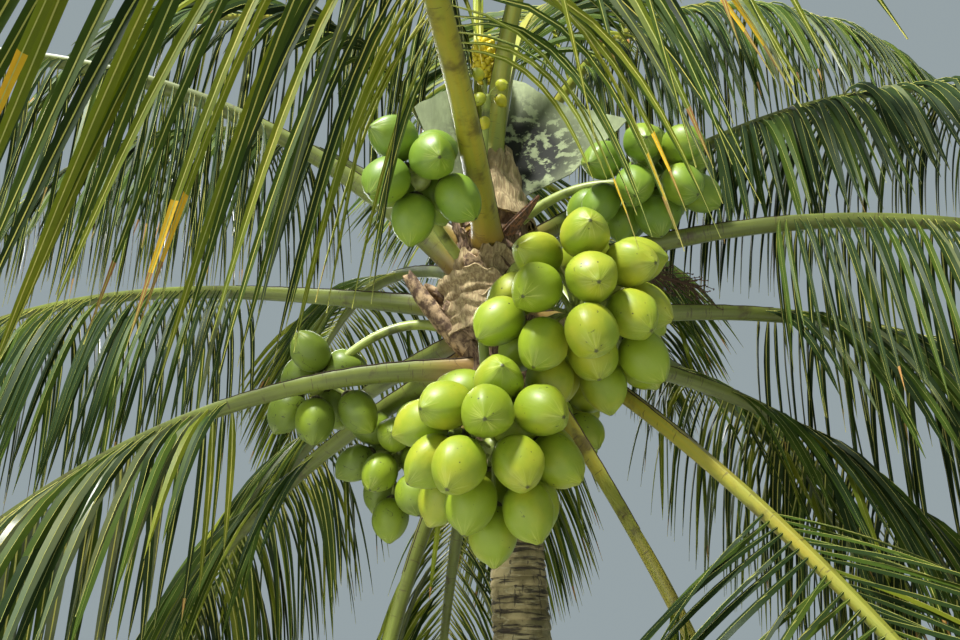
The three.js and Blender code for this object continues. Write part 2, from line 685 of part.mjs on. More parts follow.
// A sheet of even thickness over a grid of places, with its upper edge torn to points.
function clothSolid(cloth) {
  const [footLeft, footRight, topLeft, topRight] = cloth.corners.map((corner) => vec(...corner));
  const columns = cloth.columns;
  const { rows, thickness } = CLOTH;
  const normal = topLeft.clone().sub(footLeft).cross(footRight.clone().sub(footLeft)).normalize();
  const points = [];
  const placeAt = (column, row, side) => {
    const across = column / columns;
    const torn = row === rows && column % 2 === 1 ? 1 - cloth.torn : 1;
    const rise = (row / rows) * torn;
    const foot = footLeft.clone().lerp(footRight, across);
    const place = foot.lerp(topLeft.clone().lerp(topRight, across), rise);
    const bow = cloth.bow * Math.sin(Math.PI * across) * Math.sin(Math.PI * rise * CLOTH.bowed);
    return plus(place, normal, bow + (side * thickness) / 2);
  };
  for (const side of [-1, 1])
    for (let row = 0; row <= rows; row++)
      for (let column = 0; column <= columns; column++) points.push(placeAt(column, row, side));
  const layer = (rows + 1) * (columns + 1);
  const at = (column, row) => row * (columns + 1) + column;
  const faces = [];
  for (let row = 0; row < rows; row++)
    for (let column = 0; column < columns; column++) {
      const a = at(column, row);
      const b = at(column + 1, row);
      const c = at(column + 1, row + 1);
      const d = at(column, row + 1);
      faces.push([a, b, c], [a, c, d]);
      faces.push([b + layer, a + layer, d + layer], [b + layer, d + layer, c + layer]);
    }
  const rim = [];
  for (let column = 0; column < columns; column++) rim.push(at(column, 0));
  for (let row = 0; row < rows; row++) rim.push(at(columns, row));
  for (let column = columns; column > 0; column--) rim.push(at(column, rows));
  for (let row = rows; row > 0; row--) rim.push(at(0, row));
  rim.forEach((a, k) => {
    const b = rim[(k + 1) % rim.length];
    faces.push([b, a, a + layer], [b, a + layer, b + layer]);
  });
  return solidOf(points, faces);
}

function spatheSolid(spathe) {
  const points = spathe.points.map((point) => vec(...point));
  const curve = new THREE.CatmullRomCurve3(points);
  const steps = spathe.girths.length - 1;
  const rings = spathe.girths.map((girth, i) => {
    const t = i / steps;
    return ring(curve.getPoint(t), curve.getTangent(t), spathe.radius * girth, spathe.sides);
  });
  return loft(rings);
}

function flowerStalkSolid(flower) {
  const curve = new THREE.CatmullRomCurve3(flower.points.map((point) => vec(...point)));
  const pieces = [limb(curve, flower.radius, flower.sides, flower.steps)];
  for (let i = 0; i < flower.twigs; i++) {
    const share = mix(flower.twigsFrom, flower.twigsTo, i / (flower.twigs - 1));
    const root = curve.getPoint(share);
    const along = curve.getTangent(share);
    const side = along.clone().cross(UP).normalize();
    const turn = i * GOLDEN_ANGLE;
    const out = plus(side.clone().multiplyScalar(Math.cos(turn)), UP, Math.sin(turn) - flower.droop);
    const way = plus(along, out, flower.spread).normalize();
    const tip = plus(root, way, mix(flower.twigLength[0], flower.twigLength[1], share));
    const twig = strandSolid(root, tip, flower.twigRadius);
    if (isClear(twig, "dry_flower_stalk")) pieces.push(twig);
  }
  return pieces.reduce((whole, piece) => whole.add(piece));
}

// The palm

const FINISH = {
  bark: { color: 0x8a7d6c, roughness: 0.95 },
  leaf: { color: 0x3f5f33, roughness: 0.55 },
  spear: { color: 0xa9b25a, roughness: 0.5 },
  nut: { color: 0x8c9a3d, roughness: 0.45 },
  cloth: { color: 0xc9b8a0, roughness: 0.95 },
  dry: { color: 0x8a6238, roughness: 0.9 },
};

const palm = new THREE.Group();
palm.name = "coconut_palm";

function place(name, solid, finish) {
  const material = new THREE.MeshStandardMaterial({ ...FINISH[finish], metalness: 0 });
  const mesh = new THREE.Mesh(geometryOf(solid), material);
  mesh.name = name;
  palm.add(mesh);
}

const trunk = claim(trunkSolid(0), "trunk");
addRoom(trunkSolid(CLEARANCE));
place("trunk", trunk, "bark");
place("spear_leaf", claim(spearSolid(), "spear_leaf"), "spear");

const parts = FRONDS.flatMap(frondParts);
for (const part of parts) {
  const { frond, spine, distances, name } = part;
  part.roomCount = rooms.length;
  claim(cutBack(bladeSolid(frond, spine, distances, new Map())), name);
  const [first, ...rest] = distances;
  addRoom(bladeSolid(frond, spine, [first - CLEARANCE, ...rest], new Map(), ROOM_GAP));
  for (const distance of distances) {
    const next = Math.min(distance + frond.length * OBSTACLE_STEP, frond.length);
    const radius = Math.hypot(ribSize(RIB.width, frond, distance), ribSize(RIB.depth, frond, distance)) / 2;
    addObstacle(stationAt(frond, spine, distance).point, stationAt(frond, spine, next).point, radius + NUT_ROOM);
  }
}
for (let z = 0; z < TRUNK.height; z += TRUNK.crownRadius)
  addObstacle(trunkMiddle(z), trunkMiddle(z + TRUNK.crownRadius), trunkRadius(z) + NUT_ROOM);

place("dry_spathe", claim(cutBack(spatheSolid(SPATHE)), "dry_spathe"), "dry");
place("dry_flower_stalk", claim(cutBack(flowerStalkSolid(FLOWER)), "dry_flower_stalk"), "dry");
for (const bunch of BUNCHES) place(bunch.name, claim(bunchSolid(bunch), bunch.name), "nut");
for (const cloth of CLOTHS) place(cloth.name, claim(cutBack(clothSolid(cloth)), cloth.name), "cloth");
for (const part of parts) {
  const blade = bladeSolid(part.frond, part.spine, part.distances, growLeaflets(part));
  place(part.name, cutBack(blade, part.roomCount), "leaf");
}

export default palm;
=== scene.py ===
"""Dresses the fixed frame of a coconut palm: ringed bark, leaf sheaths, frond stalks, leaflets and nuts.

All sizes are in metres and all angles in degrees. +Z is up, the origin is the middle of the trunk's
flat foot, azimuth 0 points along +X and 90 along +Y. The fronds and the bunches follow the rules that
the frame's own solids were made by, carried on to finer leaflets, nuts and fibres, and TRIMS lists the
fronds whose leaflets depart from those rules."""

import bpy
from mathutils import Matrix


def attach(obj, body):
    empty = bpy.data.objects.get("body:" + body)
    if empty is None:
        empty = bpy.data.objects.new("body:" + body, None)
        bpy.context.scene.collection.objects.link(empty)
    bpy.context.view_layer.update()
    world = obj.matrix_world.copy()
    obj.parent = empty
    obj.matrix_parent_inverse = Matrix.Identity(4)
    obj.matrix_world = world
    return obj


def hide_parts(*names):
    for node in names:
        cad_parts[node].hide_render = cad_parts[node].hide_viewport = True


bl_info = {
    "name": "Coconut Palm",
    "version": (1, 0, 0),
    "blender": (4, 5, 0),
    "location": "View3D > Sidebar > Palm",
    "description": "Dresses the fixed frame of a coconut palm with bark, fibre, fronds and nuts",
    "category": "Object",
}

import math
import random
from typing import NamedTuple

import bpy
import numpy as np
from bpy.props import FloatProperty, FloatVectorProperty, IntProperty, PointerProperty
from mathutils import Vector, noise

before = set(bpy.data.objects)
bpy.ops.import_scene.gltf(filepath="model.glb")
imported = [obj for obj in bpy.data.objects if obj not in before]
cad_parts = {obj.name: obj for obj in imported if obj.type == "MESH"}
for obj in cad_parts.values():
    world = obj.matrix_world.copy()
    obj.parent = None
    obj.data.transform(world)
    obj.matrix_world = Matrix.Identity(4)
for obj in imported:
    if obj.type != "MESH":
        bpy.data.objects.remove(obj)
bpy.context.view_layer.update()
CAD_NODES = sorted(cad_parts)
SEED = 7
UP = np.array([0.0, 0.0, 1.0])
GOLDEN_ANGLE = math.pi * (3 - math.sqrt(5))

# The widest angle in degrees between faces that are shaded as one surface, by kind of piece
SMOOTH_TO = {
    "trunk": 38, "stalk": 50, "leaflet": 32, "tip": 25, "spear": 30, "nut": 60, "fibre": 60,
    "sheet": 40, "cap": 40, "twig": 40, "foot": 45,
}


class Frond(NamedTuple):
    """Where a frond leaves the trunk, how it bends, and which finishes its stalk and leaflets take; the
    leaflets' light sets how much of their colour is painted shade, painted sunlight or painted sheen.
    """

    azimuth: float
    foot: float
    rise: float
    fall: float
    length: float
    curl: float
    swing: float
    stiff: float
    roll: float
    stalk: str
    # the painted light of its leaflets: how much of their colour is painted shade, painted sunlight or
    # painted sheen
    light: str


class Bunch(NamedTuple):
    """Where a bunch hangs, and how its nuts spread round the end of its stalk."""

    node: str
    nuts: int
    size: float
    middle: tuple
    shell: tuple
    open: float
    turn: float
    azimuth: float
    foot: float
    knee: float
    husk: str


class Wrap(NamedTuple):
    """A leaf sheath round the heart: its middle azimuth, width, foot and height, and how far its foot and
    its top stand off the trunk."""

    azimuth: float
    span: float
    foot: float
    height: float
    room: float
    flare: float


class Stub(NamedTuple):
    """The dry foot of a frond that has dropped."""

    azimuth: float
    foot: float
    rise: float
    length: float
    width: float


# Trunk and ribs, as in the frame
LEAN = 0.0135
FOOT_RADIUS = 0.116
STEM_TAPER = 0.0048
FLARE = 0.078
FLARE_HEIGHT = 0.210
CROWN_FROM = 2.42
CROWN_FULL = 2.80
CROWN_TOP = 3.18
CROWN_RADIUS = 0.128
HEART_RADIUS = 0.062
TRUNK_HEIGHT = 3.74

RIB_WIDTH = (0.122, 0.082, 0.012)
RIB_DEPTH = (0.074, 0.052, 0.012)
RIB_PETIOLE = 0.29
RIB_SUNK = 0.026
RIB_CROWDING = 1.12
SPINE_STEPS = 48

# A frond's cross-section seen from its tip, as shares of half its width and half its depth
RIB_SECTION = np.array([
    (1.0, 0.5), (0.93, 0.98), (0.5, 0.78), (0.0, 0.66), (-0.5, 0.78), (-0.93, 0.98),
    (-1.0, 0.5), (-0.86, -0.25), (-0.5, -0.82), (0.0, -1.0), (0.5, -0.82), (0.86, -0.25),
])
RIB_CHANNEL = (2, 3, 4)
RIB_EDGES = (1, 5)
RIB_RIDGE = (0.95, 1.25, 0.95)
RIB_RIDGE_FROM = (0.7, 1.4)
RIB_FLARE = (0.45, 0.25)
RIB_FLARE_REACH = 0.11
STALK_SHARES = np.concatenate([np.linspace(0, 0.08, 9), np.linspace(0.1, 1, 58)])
EDGE_SHARES = np.linspace(0.006, RIB_PETIOLE * 1.05, 26)
EDGE_RADIUS = 0.0042
EDGE_WAVE = 0.0015
EDGE_WAVE_TURN = 2.3
EDGE_TAPER = 0.6
EDGE_SIDES = 5
# Where brown spots and thin bands begin on the noise of each stalk: the lower, the more of them
STALK_MARKS = {"pale": (0.64, 0.66), "olive": (0.58, 0.61), "golden": (0.49, 0.64), "strand": (0.5, 0.63)}

# Rings of the bark: how much their heights and their reliefs vary, and one ring's profile as shares of
# its height and of its relief
RING_HEIGHTS = (0.72, 1.28)
RING_RELIEFS = (0.6, 1.4)
RING_PROFILE = ((0.06, 0.9), (0.3, 1.0), (0.65, 0.35), (0.92, -0.5))
RING_SUNK = 0.6
WOBBLE_SIZE = 0.22
PIT_SIZE = 0.035
SWELL_SIZE = 0.5

LEAFLET_LONGEST = 1.16
LEAFLET_FOOT_SHARE = 0.7
LEAFLET_TIP_SHARE = 0.34
LEAFLET_LONGEST_AT = 0.36
LEAFLET_SPREAD = (74, 52, 20)
LEAFLET_RAISE = (-14, 24)
LEAFLET_SAG = (0.32, 0.05)
LEAFLET_HANG = (4.4, 0.8)
LEAFLET_LIMBER = 1.3
LEAFLET_TIP_FALL = 1.6
LEAFLET_ROOT = (0.82, 0.3)  # sideways and upward from the middle of the rib, in half widths of the rib
LEAFLET_WIDTH_FOLLOWS = 0.6
LEAFLET_STEPS = 9
LEAFLET_GROUND_ROOM = 0.06
LEAFLET_OUTLINE = ((0, 0.05, 0.14, 0.3, 0.6, 0.8, 0.93, 1), (0.3, 0.5, 0.86, 1, 0.88, 0.62, 0.3, 0.03))
LEAFLET_ROD_STEPS = 25
LEAFLET_ROOM = 0.006
LEAFLET_PUSH = 1.4

# How much the leaflets of one frond vary, in degrees, as shares of their length, or as times their weight
SPREAD_JITTER = 5
RAISE_JITTER = 6
TWIST_JITTER = 22
PLACE_JITTER = 0.002
SHORTEST = 0.86
WEIGHTS = (0.75, 1.2)
WIDTHS = (0.85, 1.1)
FIRST_LENGTHS = ((0, 0.06), (0.75, 1))
KINKED_SHARE = 0.1
KINK_WEIGHT = 5.0
YELLOW_SHARE = 0.16
DRY_FROM = 0.92

# How steeply a leaflet folds at its foot, how thin its tip is, and its midrib's taper, height and crest
FOOT_FOLD = 26
FOOT_FOLD_REACH = 0.3
TWIST_REACH = 0.25
TIP_THINNED = 0.6
MIDRIB_TAPER = 0.82
MIDRIB_RISE = 0.9
MIDRIB_PROUD = 0.0006

SPEAR_LEAN = (100, 5)
SPEAR_LENGTH = 1.9
SPEAR_RADIUS = 0.034
SPEAR_OUTLINE = ((0, 0.3, 0.6, 0.86, 1), (1, 0.9, 0.72, 0.42, 0.08))
SPEAR_SIDES = 22
SPEAR_PLEAT = 0.76
SPEAR_STRIPS = 7
SPEAR_STEPS = 30
STRIP_RADIUS = 0.012
STRIP_STEPS = 8
STRIP_SIDES = 4
STRIP_FROM = (0.5, 0.06)
STRIP_SPAN = 0.32
STRIP_PARTED = (0.016, 0.045)
STRIP_TAPER = (1, 0.1)

# The last entry of each frond is the painted light that its leaflets are coloured in, from the darkest
# painted shade to painted sunlight and painted sheen
FRONDS = (
    Frond(62, 3.57, 80, 5, 3.90, 1.8, 0, 0.8, 0, "pale", "green"),
    Frond(-68, 3.56, 80, -35, 3.90, 1.5, 26, 0.7, 0, "pale", "green"),
    Frond(165, 3.40, 76, -48, 4.00, 1.5, 0, 0.3, 0, "pale", "deep"),
    Frond(14, 3.45, 75, -48, 4.10, 1.5, 0, 0.3, 0, "pale", "deep"),
    Frond(96, 3.38, 60, -35, 4.00, 1.6, -10, 0.6, 0, "pale", "green"),
    Frond(-145, 3.42, 85, -50, 4.00, 1.9, 0, 0.4, 0, "pale", "deep"),
    Frond(9, 3.33, 37, -22, 4.05, 2.2, 0, 0.3, 0, "olive", "shade"),
    Frond(-95, 3.29, 3, -42, 4.05, 1.5, -9, 0.1, -34, "golden", "bright"),
    Frond(158, 3.36, 46, -45, 4.05, 1.8, 0, 0.4, 0, "olive", "deep"),
    Frond(60, 3.28, 40, -50, 4.00, 1.6, 6, 0.4, 0, "olive", "green"),
    Frond(118, 3.23, 32, -55, 4.00, 1.6, 0, 0.3, 0, "olive", "sunlit"),
    Frond(200, 3.15, 42, -66, 3.95, 1.25, 0, 0.2, 0, "olive", "shade"),
    Frond(-12, 3.15, 16, -66, 3.95, 1.3, 0, 0.1, 0, "olive", "shade"),
    Frond(168, 3.045, 12, -50, 3.95, 2.2, 0, 0.1, 0, "olive", "shade"),
    Frond(85, 3.06, 12, -62, 3.90, 1.5, 0, 0.1, 0, "olive", "sunlit"),
    Frond(5, 2.965, 10, -62, 3.85, 1.5, 0, 0.1, 0, "olive", "deep"),
    Frond(38, 3.055, 6, -66, 3.85, 1.4, 4, 0.1, 0, "olive", "green"),
    Frond(130, 2.95, 4, -68, 3.80, 1.3, 0, 0.1, 0, "olive", "green"),
    Frond(21, 2.87, 4, -70, 3.75, 1.2, 3, 0.0, 0, "olive", "deep"),
    Frond(99, 2.85, -12, -74, 3.60, 1.0, 0, 0.0, 0, "olive", "sunlit"),
    Frond(-40, 2.94, -38, -68, 3.20, 1.0, 0, 0.8, -50, "golden", "deep"),
    Frond(148, 2.835, -12, -72, 3.30, 1.1, 0, 0.0, 0, "olive", "green"),
    Frond(185, 2.74, 2, -78, 3.50, 1.0, 0, 0.0, 0, "olive", "silver"),
    Frond(-16, 2.80, -58, -80, 2.75, 1.0, 0, 0.0, 0, "golden", "green"),
    Frond(192, 2.60, -52, -90, 2.45, 0.45, 0, 0.0, 0, "olive", "deep"),
)
FRONT_FROND = 7  # the frond that reaches out over the camera, whose leaflets have yellow tips


class Trim(NamedTuple):
    """How one frond's leaflets differ from the others': where they begin along the frond, how many times
    as far apart, as wide, as long and as heavy they are, how far they lean back to the trunk, how much
    further than that those on its right do and how much less those on its left, and how much higher they
    stand."""

    start: float = RIB_PETIOLE
    spacing: float = 1.0
    width: float = 1.0
    length: float = 1.0
    weight: float = 1.0
    lean: float = 0.0
    slant: float = 0.0
    raised: float = 0.0


CURTAIN = Trim(spacing=0.82, width=0.7, weight=3.0, lean=28)
TRIMS = {
    FRONT_FROND: Trim(width=0.5, length=1.15, weight=1.3, lean=26),
    3: CURTAIN,
    5: CURTAIN,
    6: Trim(spacing=0.9, weight=1.6, lean=58),
    8: CURTAIN,
    11: Trim(spacing=0.64, width=0.46, weight=3.4, lean=32),
    12: CURTAIN,
    13: CURTAIN,
    20: Trim(start=0.405, spacing=0.8, width=0.75, weight=0.35, slant=20, raised=-26),
    23: Trim(start=0.4),
    24: Trim(start=0.5),
}

# The leaflet colours, in order: a dark green that is painted shade, the green itself, a lime that is painted
# sunlight, and a greyish green that is a painted sheen on glossier leaflets
LEAF_TINTS = ("deep", "green", "lime", "silver")

# The share of light that a leaf lets through, and its roughness
LEAF_LOOKS = {
    "deep": (0.14, 0.5),
    "green": (0.24, 0.48),
    "lime": (0.34, 0.45),
    "silver": (0.12, 0.28),
    "midrib": (0.1, 0.45),
    "tip": (0.25, 0.6),
}
LIT_THROUGH = (2.6, 2.2, 1.2)

# Shares of the leaf colours, in the order above, in each kind of painted light that a frond's leaflets take:
# painted shade, green, painted sunlight and painted sheen
PAINTED_LIGHT_SHARES = {
    "shade": (0.76, 0.2, 0.01, 0.03),
    "deep": (0.6, 0.31, 0.03, 0.06),
    "green": (0.28, 0.5, 0.17, 0.05),
    "bright": (0.15, 0.5, 0.32, 0.03),
    "sunlit": (0.08, 0.42, 0.46, 0.04),
    "silver": (0.3, 0.3, 0.05, 0.35),
}

NUT_WIDTH = 0.172
NUT_LENGTH = 0.196
NUT_APART = 0.001
NUT_ROOM = 0.003
NUT_HANG = 0.7
NUT_POLE = (0.8, -0.6)
NUT_RIDGES = 3
NUT_RIDGE_FROM = (-0.9, 0.8)
NUT_FOLDS = 5
NUT_GIRTHS = (0.95, 1.0)
NUT_RINGS = 20
NUT_SIDES = 30
NUT_GATHERED = 1.3
NUT_FULLNESS = (2.4, 1.75)
NUT_FOLDS_AT = (0.93, 0.06)
NUT_REACH = 1.0
NUT_MISSED = 0.01
SETTLE_ROUNDS = 120
SETTLE_PULLED = 0.7
SETTLE_PULL = 0.06
STALK_STEPS = 18
STALK_SIDES = 10
STALK_RADIUS = (0.026, 0.017)
STALK_SUNK = 0.022
STALK_ARCH = 0.34
STALK_KNOT = 0.096
STALK_KNOT_RADIUS = 0.042
KNOT_STEPS = 7
KNOT_SIDES = 9
KNOT_TURN = (0.3, 2.85)
STALK_SINK = 0.3
STRAND_STEPS = 7
STRAND_SIDES = 6
STRAND_IN_NUT = 0.006
STRAND_RADIUS = (0.007, 0.009)
STRAND_SAG = 0.02
CAP_HEIGHTS = np.array([-0.012, -0.004, 0.006, 0.017])
CAP_RADII = np.array([0.012, 0.026, 0.033, 0.036])
CAP_SIDES = 12
CAP_SCALLOP = 0.8

# Where scars begin on the noise of each husk: the lower, the more of them
HUSK_SCARS = {"lime": 0.69, "green": 0.71, "olive": 0.65, "young": 0.71, "bud": 0.9}

BUNCHES = (
    Bunch("bunch_young", 6, 0.34, (-0.16, -0.3, 4.0), (0.085, 0.14), 1, 0, -100, 3.47, 0.2, "young"),
    Bunch("bunch_upper_left", 8, 0.98, (-0.412, -0.74, 3.225), (0.11, 0.125), 0.9, 0.4, -140, 3.18, 0.5,
          "green"),
    Bunch("bunch_upper_right", 16, 0.96, (0.48, -0.34, 3.48), (0.22, 0.14), 0.75, 0, -36, 3.39, 0.5, "green"),
    Bunch("bunch_front", 23, 1, (0.145, -0.6, 2.745), (0.23, 0.215), 0.66, 0, -75, 3.05, 0.5, "lime"),
    Bunch("bunch_lower_front", 19, 1, (-0.15, -0.54, 2.275), (0.19, 0.205), 0.72, 0.5, -105, 2.82, 0.5,
          "lime"),
    Bunch("bunch_lower_left", 12, 0.94, (-0.565, 0.26, 2.43), (0.095, 0.205), 0.9, 0, 160, 2.655, 0.5,
          "olive"),
    Bunch("bunch_left", 9, 1, (-0.9, 0.03, 2.7), (0.16, 0.14), 1, 0, 176, 2.9, 0.5, "olive"),
    Bunch("bunch_back", 12, 1, (0.17, 0.54, 2.74), (0.17, 0.18), 0.8, 0, 61, 3.13, 0.5, "lime"),
)

BUD_POINTS = ((-0.15, -0.09, 3.75), (-0.165, -0.12, 4.1), (-0.17, -0.13, 4.42))
BUDS = 90
BUD_SIZE = 0.2
BUD_THINNED = 3
BUD_STALK_STEPS = 12
BUD_STALK_SIDES = 7
BUD_STALK_RADIUS = (0.016, 0.006)
BUD_HEAD_HEIGHT = 0.26
BUD_HEAD_RADIUS = 0.062

# Torn sheets of leaf sheath by node: their lower and upper corners, left before right, and their bow
VEILS = {
    "sheath_cloth_right": (
        ((-0.12, -0.02, 3.56), (0.23, -0.13, 3.69), (-0.02, -0.01, 4.40), (0.52, -0.18, 3.98)), 0.05),
    "sheath_cloth_left": (
        ((-0.33, -0.14, 3.56), (-0.23, -0.06, 3.56), (-0.52, -0.16, 4.08), (-0.23, -0.08, 4.34)), -0.03),
}
VEIL_SEED = 11
VEIL_GRID = (70, 60)
VEIL_THICKNESS = 0.004
VEIL_TEARS = (0.03, 0.006)
VEIL_CRUMPLE = 0.02
MOULD_MIDDLE = (0.0, -0.07, 3.88)
MOULD_REACH = (0.18, 0.42)

SPATHE_POINTS = ((-0.112, -0.066, 3.325), (-0.06, -0.195, 3.365), (0.06, -0.285, 3.465))
SPATHE_GRID = (24, 30)
SPATHE_RADIUS = 0.034
SPATHE_TURN = (1.1, 0.8)
SPATHE_THICKNESS = 0.005
SPATHE_RIPPLE = 0.06
FLOWER_POINTS = ((0, 0.006, 3.195), (0.25, 0.02, 3.265), (0.52, 0.02, 3.255), (0.8, 0.01, 3.17))
FLOWER_STEPS = 20
FLOWER_SIDES = 8
FLOWER_RADIUS = (0.019, 0.007)
FLOWER_TWIGS = 58
FLOWER_TWIG_LENGTH = (0.33, 0.15)
FLOWER_SPREAD = 0.55
FLOWER_DROOP = 0.5
FLOWER_FROM = (0.36, 0.98)
FLOWER_CROOK = 0.007
TWIG_RADIUS = (0.0042, 0.0018)
TWIG_STEPS = 7
TWIG_SIDES = 4
TWIG_SCALE_LENGTH = 0.006
TWIG_SCALE_RADII = np.array([0.001, 0.0035, 0.0035, 0.001])

FIBRE_HEIGHTS = (2.6, 3.72)
FIBRE_LENGTHS = (0.05, 0.2)
FIBRE_RADIUS = (0.0016, 0.0005)
FIBRE_ROOM = 0.012
FIBRE_STEPS = 7
FIBRE_SIDES = 3
FIBRE_TURNED = 60
FIBRE_CURLS = (0.1, 0.6)
FIBRE_DROOP = 0.12

# Brown sheaths, papery ones and dry feet of dropped fronds, and how the sheaths tear, frill and crease
WRAPS = (
    Wrap(150, 180, 3.44, 0.34, 0.02, 0.05),
    Wrap(-100, 70, 3.20, 0.17, 0.02, 0.05),
    Wrap(-60, 80, 3.16, 0.20, 0.02, 0.07),
    Wrap(-30, 120, 3.27, 0.25, 0.07, 0.05),
    Wrap(-125, 110, 3.08, 0.16, 0.015, 0.05),
    Wrap(170, 140, 3.24, 0.24, 0.015, 0.06),
    Wrap(50, 150, 3.18, 0.26, 0.015, 0.06),
    Wrap(-95, 120, 2.96, 0.19, 0.012, 0.06),
    Wrap(-160, 120, 2.88, 0.22, 0.012, 0.06),
    Wrap(10, 130, 2.96, 0.22, 0.012, 0.05),
    Wrap(120, 140, 2.92, 0.22, 0.012, 0.05),
    Wrap(-45, 130, 2.76, 0.20, 0.01, 0.04),
    Wrap(70, 150, 2.72, 0.20, 0.01, 0.04),
    Wrap(-140, 130, 2.64, 0.20, 0.01, 0.03),
    Wrap(165, 130, 2.56, 0.18, 0.01, 0.03),
)
PAPER_WRAPS = (
    Wrap(-35, 130, 3.44, 0.36, 0.13, -0.01),
    Wrap(10, 170, 3.44, 0.44, 0.115, -0.02),
    Wrap(-100, 84, 3.09, 0.17, 0.055, 0.045),
    Wrap(-135, 110, 3.0, 0.14, 0.09, 0.05),
    Wrap(-125, 100, 2.88, 0.14, 0.1, 0.03),
)
STUBS = (
    Stub(190, 2.86, 30, 0.30, 0.125),
    Stub(-118, 3.06, 38, 0.20, 0.11),
    Stub(-165, 2.80, 38, 0.48, 0.12),
    Stub(-172, 3.02, 18, 0.24, 0.1),
    Stub(-150, 2.86, 30, 0.22, 0.10),
    Stub(112, 2.70, 35, 0.17, 0.10),
    Stub(62, 2.62, 30, 0.14, 0.10),
    Stub(-62, 2.66, 28, 0.12, 0.10),
    Stub(15, 2.58, 35, 0.15, 0.10),
    Stub(-130, 2.52, 30, 0.10, 0.10),
    Stub(150, 2.46, 32, 0.12, 0.10),
)
WRAP_GRID = (52, 18)
WRAP_SEED = 5.3
WRAP_TEETH = 9
WRAP_FRILLS = (6, 2.2)
WRAP_CREASES = 17
WRAP_CREASE_BENT = 4
WRAP_GRAIN = (22, 9)
WRAP_TEAR = 0.35
WRAP_CORNERS = 0.5
WRAP_FRILL = 0.024
WRAP_CREASE = 0.005
WRAP_FINE = 0.004
STUB_STEPS = 14
STUB_CURL = 20
STUB_DEPTH = 0.28
STUB_WIDENED = (1.25, 0.55)
STUB_DEEPENED = (1.1, 0.5)
STUB_WEAR = 0.12
STUB_TORN = 0.018

LIGHT_TARGET = (0, 0, 3)
KEY_LIGHT = ((-3.5, -5.5, 11.0), 1.0)
FILL_LIGHT = ((-5.0, -5.0, 1.2), 3.0)
BACK_LIGHT = ((-3.0, 8.0, 8.0), 4.0)
SENSOR_WIDTH = 36
NEAREST_SEEN = 0.02
FLOOR_SIZE = 60


# Small sums


def mix(first, second, share):
    return first + (second - first) * share


def smoothstep(value, low, high):
    t = np.clip((value - low) / (high - low), 0, 1)
    return t * t * (3 - 2 * t)


def unit(vectors):
    return vectors / np.linalg.norm(vectors, axis=-1, keepdims=True)


def dot(first, second):
    return np.sum(first * second, axis=-1, keepdims=True)


def heading(azimuth):
    turn = np.radians(azimuth)
    return np.stack([np.cos(turn), np.sin(turn), np.zeros_like(turn)], axis=-1)


def square_to(direction):
    """Two directions that stand square to this one and to each other."""
    seed = np.array([1.0, 0, 0]) if abs(direction[2]) > 0.9 else UP
    first = unit(np.cross(seed, direction))
    return first, np.cross(direction, first)


def trunk_middle(z):
    z = np.asarray(z, dtype=float)
    return np.stack([-LEAN * z * z, np.zeros_like(z), z], axis=-1)


def trunk_radius(z):
    stem = FOOT_RADIUS - STEM_TAPER * z + FLARE * np.exp(-z / FLARE_HEIGHT)
    crown = mix(stem, CROWN_RADIUS, smoothstep(z, CROWN_FROM, CROWN_FULL))
    return mix(crown, HEART_RADIUS, smoothstep(z, CROWN_TOP, TRUNK_HEIGHT))


def spline(points, shares):
    """Places on a smooth curve through the points."""
    points = np.array(points, dtype=float)
    padded = np.vstack([2 * points[0] - points[1], points, 2 * points[-1] - points[-2]])
    place = np.clip(shares, 0, 1) * (len(points) - 1)
    i = np.minimum(place.astype(int), len(points) - 2)
    t = (place - i)[:, None]
    a, b, c, d = (padded[i + k] for k in range(4))
    return 0.5 * (2 * b + (c - a) * t + (2 * a - 5 * b + 4 * c - d) * t**2 + (3 * b - a - 3 * c + d) * t**3)


def tangents(places):
    return unit(np.gradient(places, axis=0))


# Meshes


class Skin:
    """Gathers many small closed shapes, which then become one piece."""

    def __init__(self):
        self.points = []
        self.faces = []
        self.grain = []
        self.count = 0

    def add(self, points, faces, grain=None):
        points = points.reshape(-1, 3)
        self.points.append(points)
        self.faces.extend((corners + self.count).tolist() for corners in faces)
        self.grain.append(np.zeros_like(points) if grain is None else grain.reshape(-1, 3))
        self.count += len(points)

    def tubes(self, sections, grain=None):
        """Closed tubes from sections[tube, ring, corner], whose corners run anticlockwise seen from the tip.
        Half of the walls start at their next corner, so that both sides of a flat tube are split along the
        same diagonal."""
        tubes, rings, sides, _ = sections.shape
        starts = np.arange(tubes)[:, None] * rings * sides
        ring, corner = np.meshgrid(np.arange(rings - 1), np.arange(sides), indexing="ij")
        here = (ring * sides + corner).ravel()
        beside = (ring * sides + (corner + 1) % sides).ravel()
        walls = np.stack([here, beside, beside + sides, here + sides], axis=-1)
        far = corner.ravel() * 2 >= sides
        walls[far] = np.roll(walls[far], -1, axis=1)
        foot = np.arange(sides)[::-1]
        tip = np.arange(sides) + (rings - 1) * sides
        faces = [
            (walls[None] + starts[:, :, None]).reshape(-1, 4),
            foot[None] + starts,
            tip[None] + starts,
        ]
        self.add(sections, faces, grain)

    def piece(self, name, smooth_below):
        mesh = bpy.data.meshes.new(name)
        mesh.from_pydata(np.concatenate(self.points).tolist(), [], [f for group in self.faces for f in group])
        grain = mesh.attributes.new("grain", "FLOAT_VECTOR", "POINT")
        grain.data.foreach_set("vector", np.concatenate(self.grain).astype(np.float32).ravel())
        piece = bpy.data.objects.new(name, mesh)
        bpy.context.scene.collection.objects.link(piece)
        smooth(piece, smooth_below)
        return piece


def select_only(piece):
    bpy.ops.object.select_all(action="DESELECT")
    piece.select_set(True)
    bpy.context.view_layer.objects.active = piece


def smooth(piece, angle):
    select_only(piece)
    bpy.ops.object.shade_smooth_by_angle(angle=math.radians(angle))


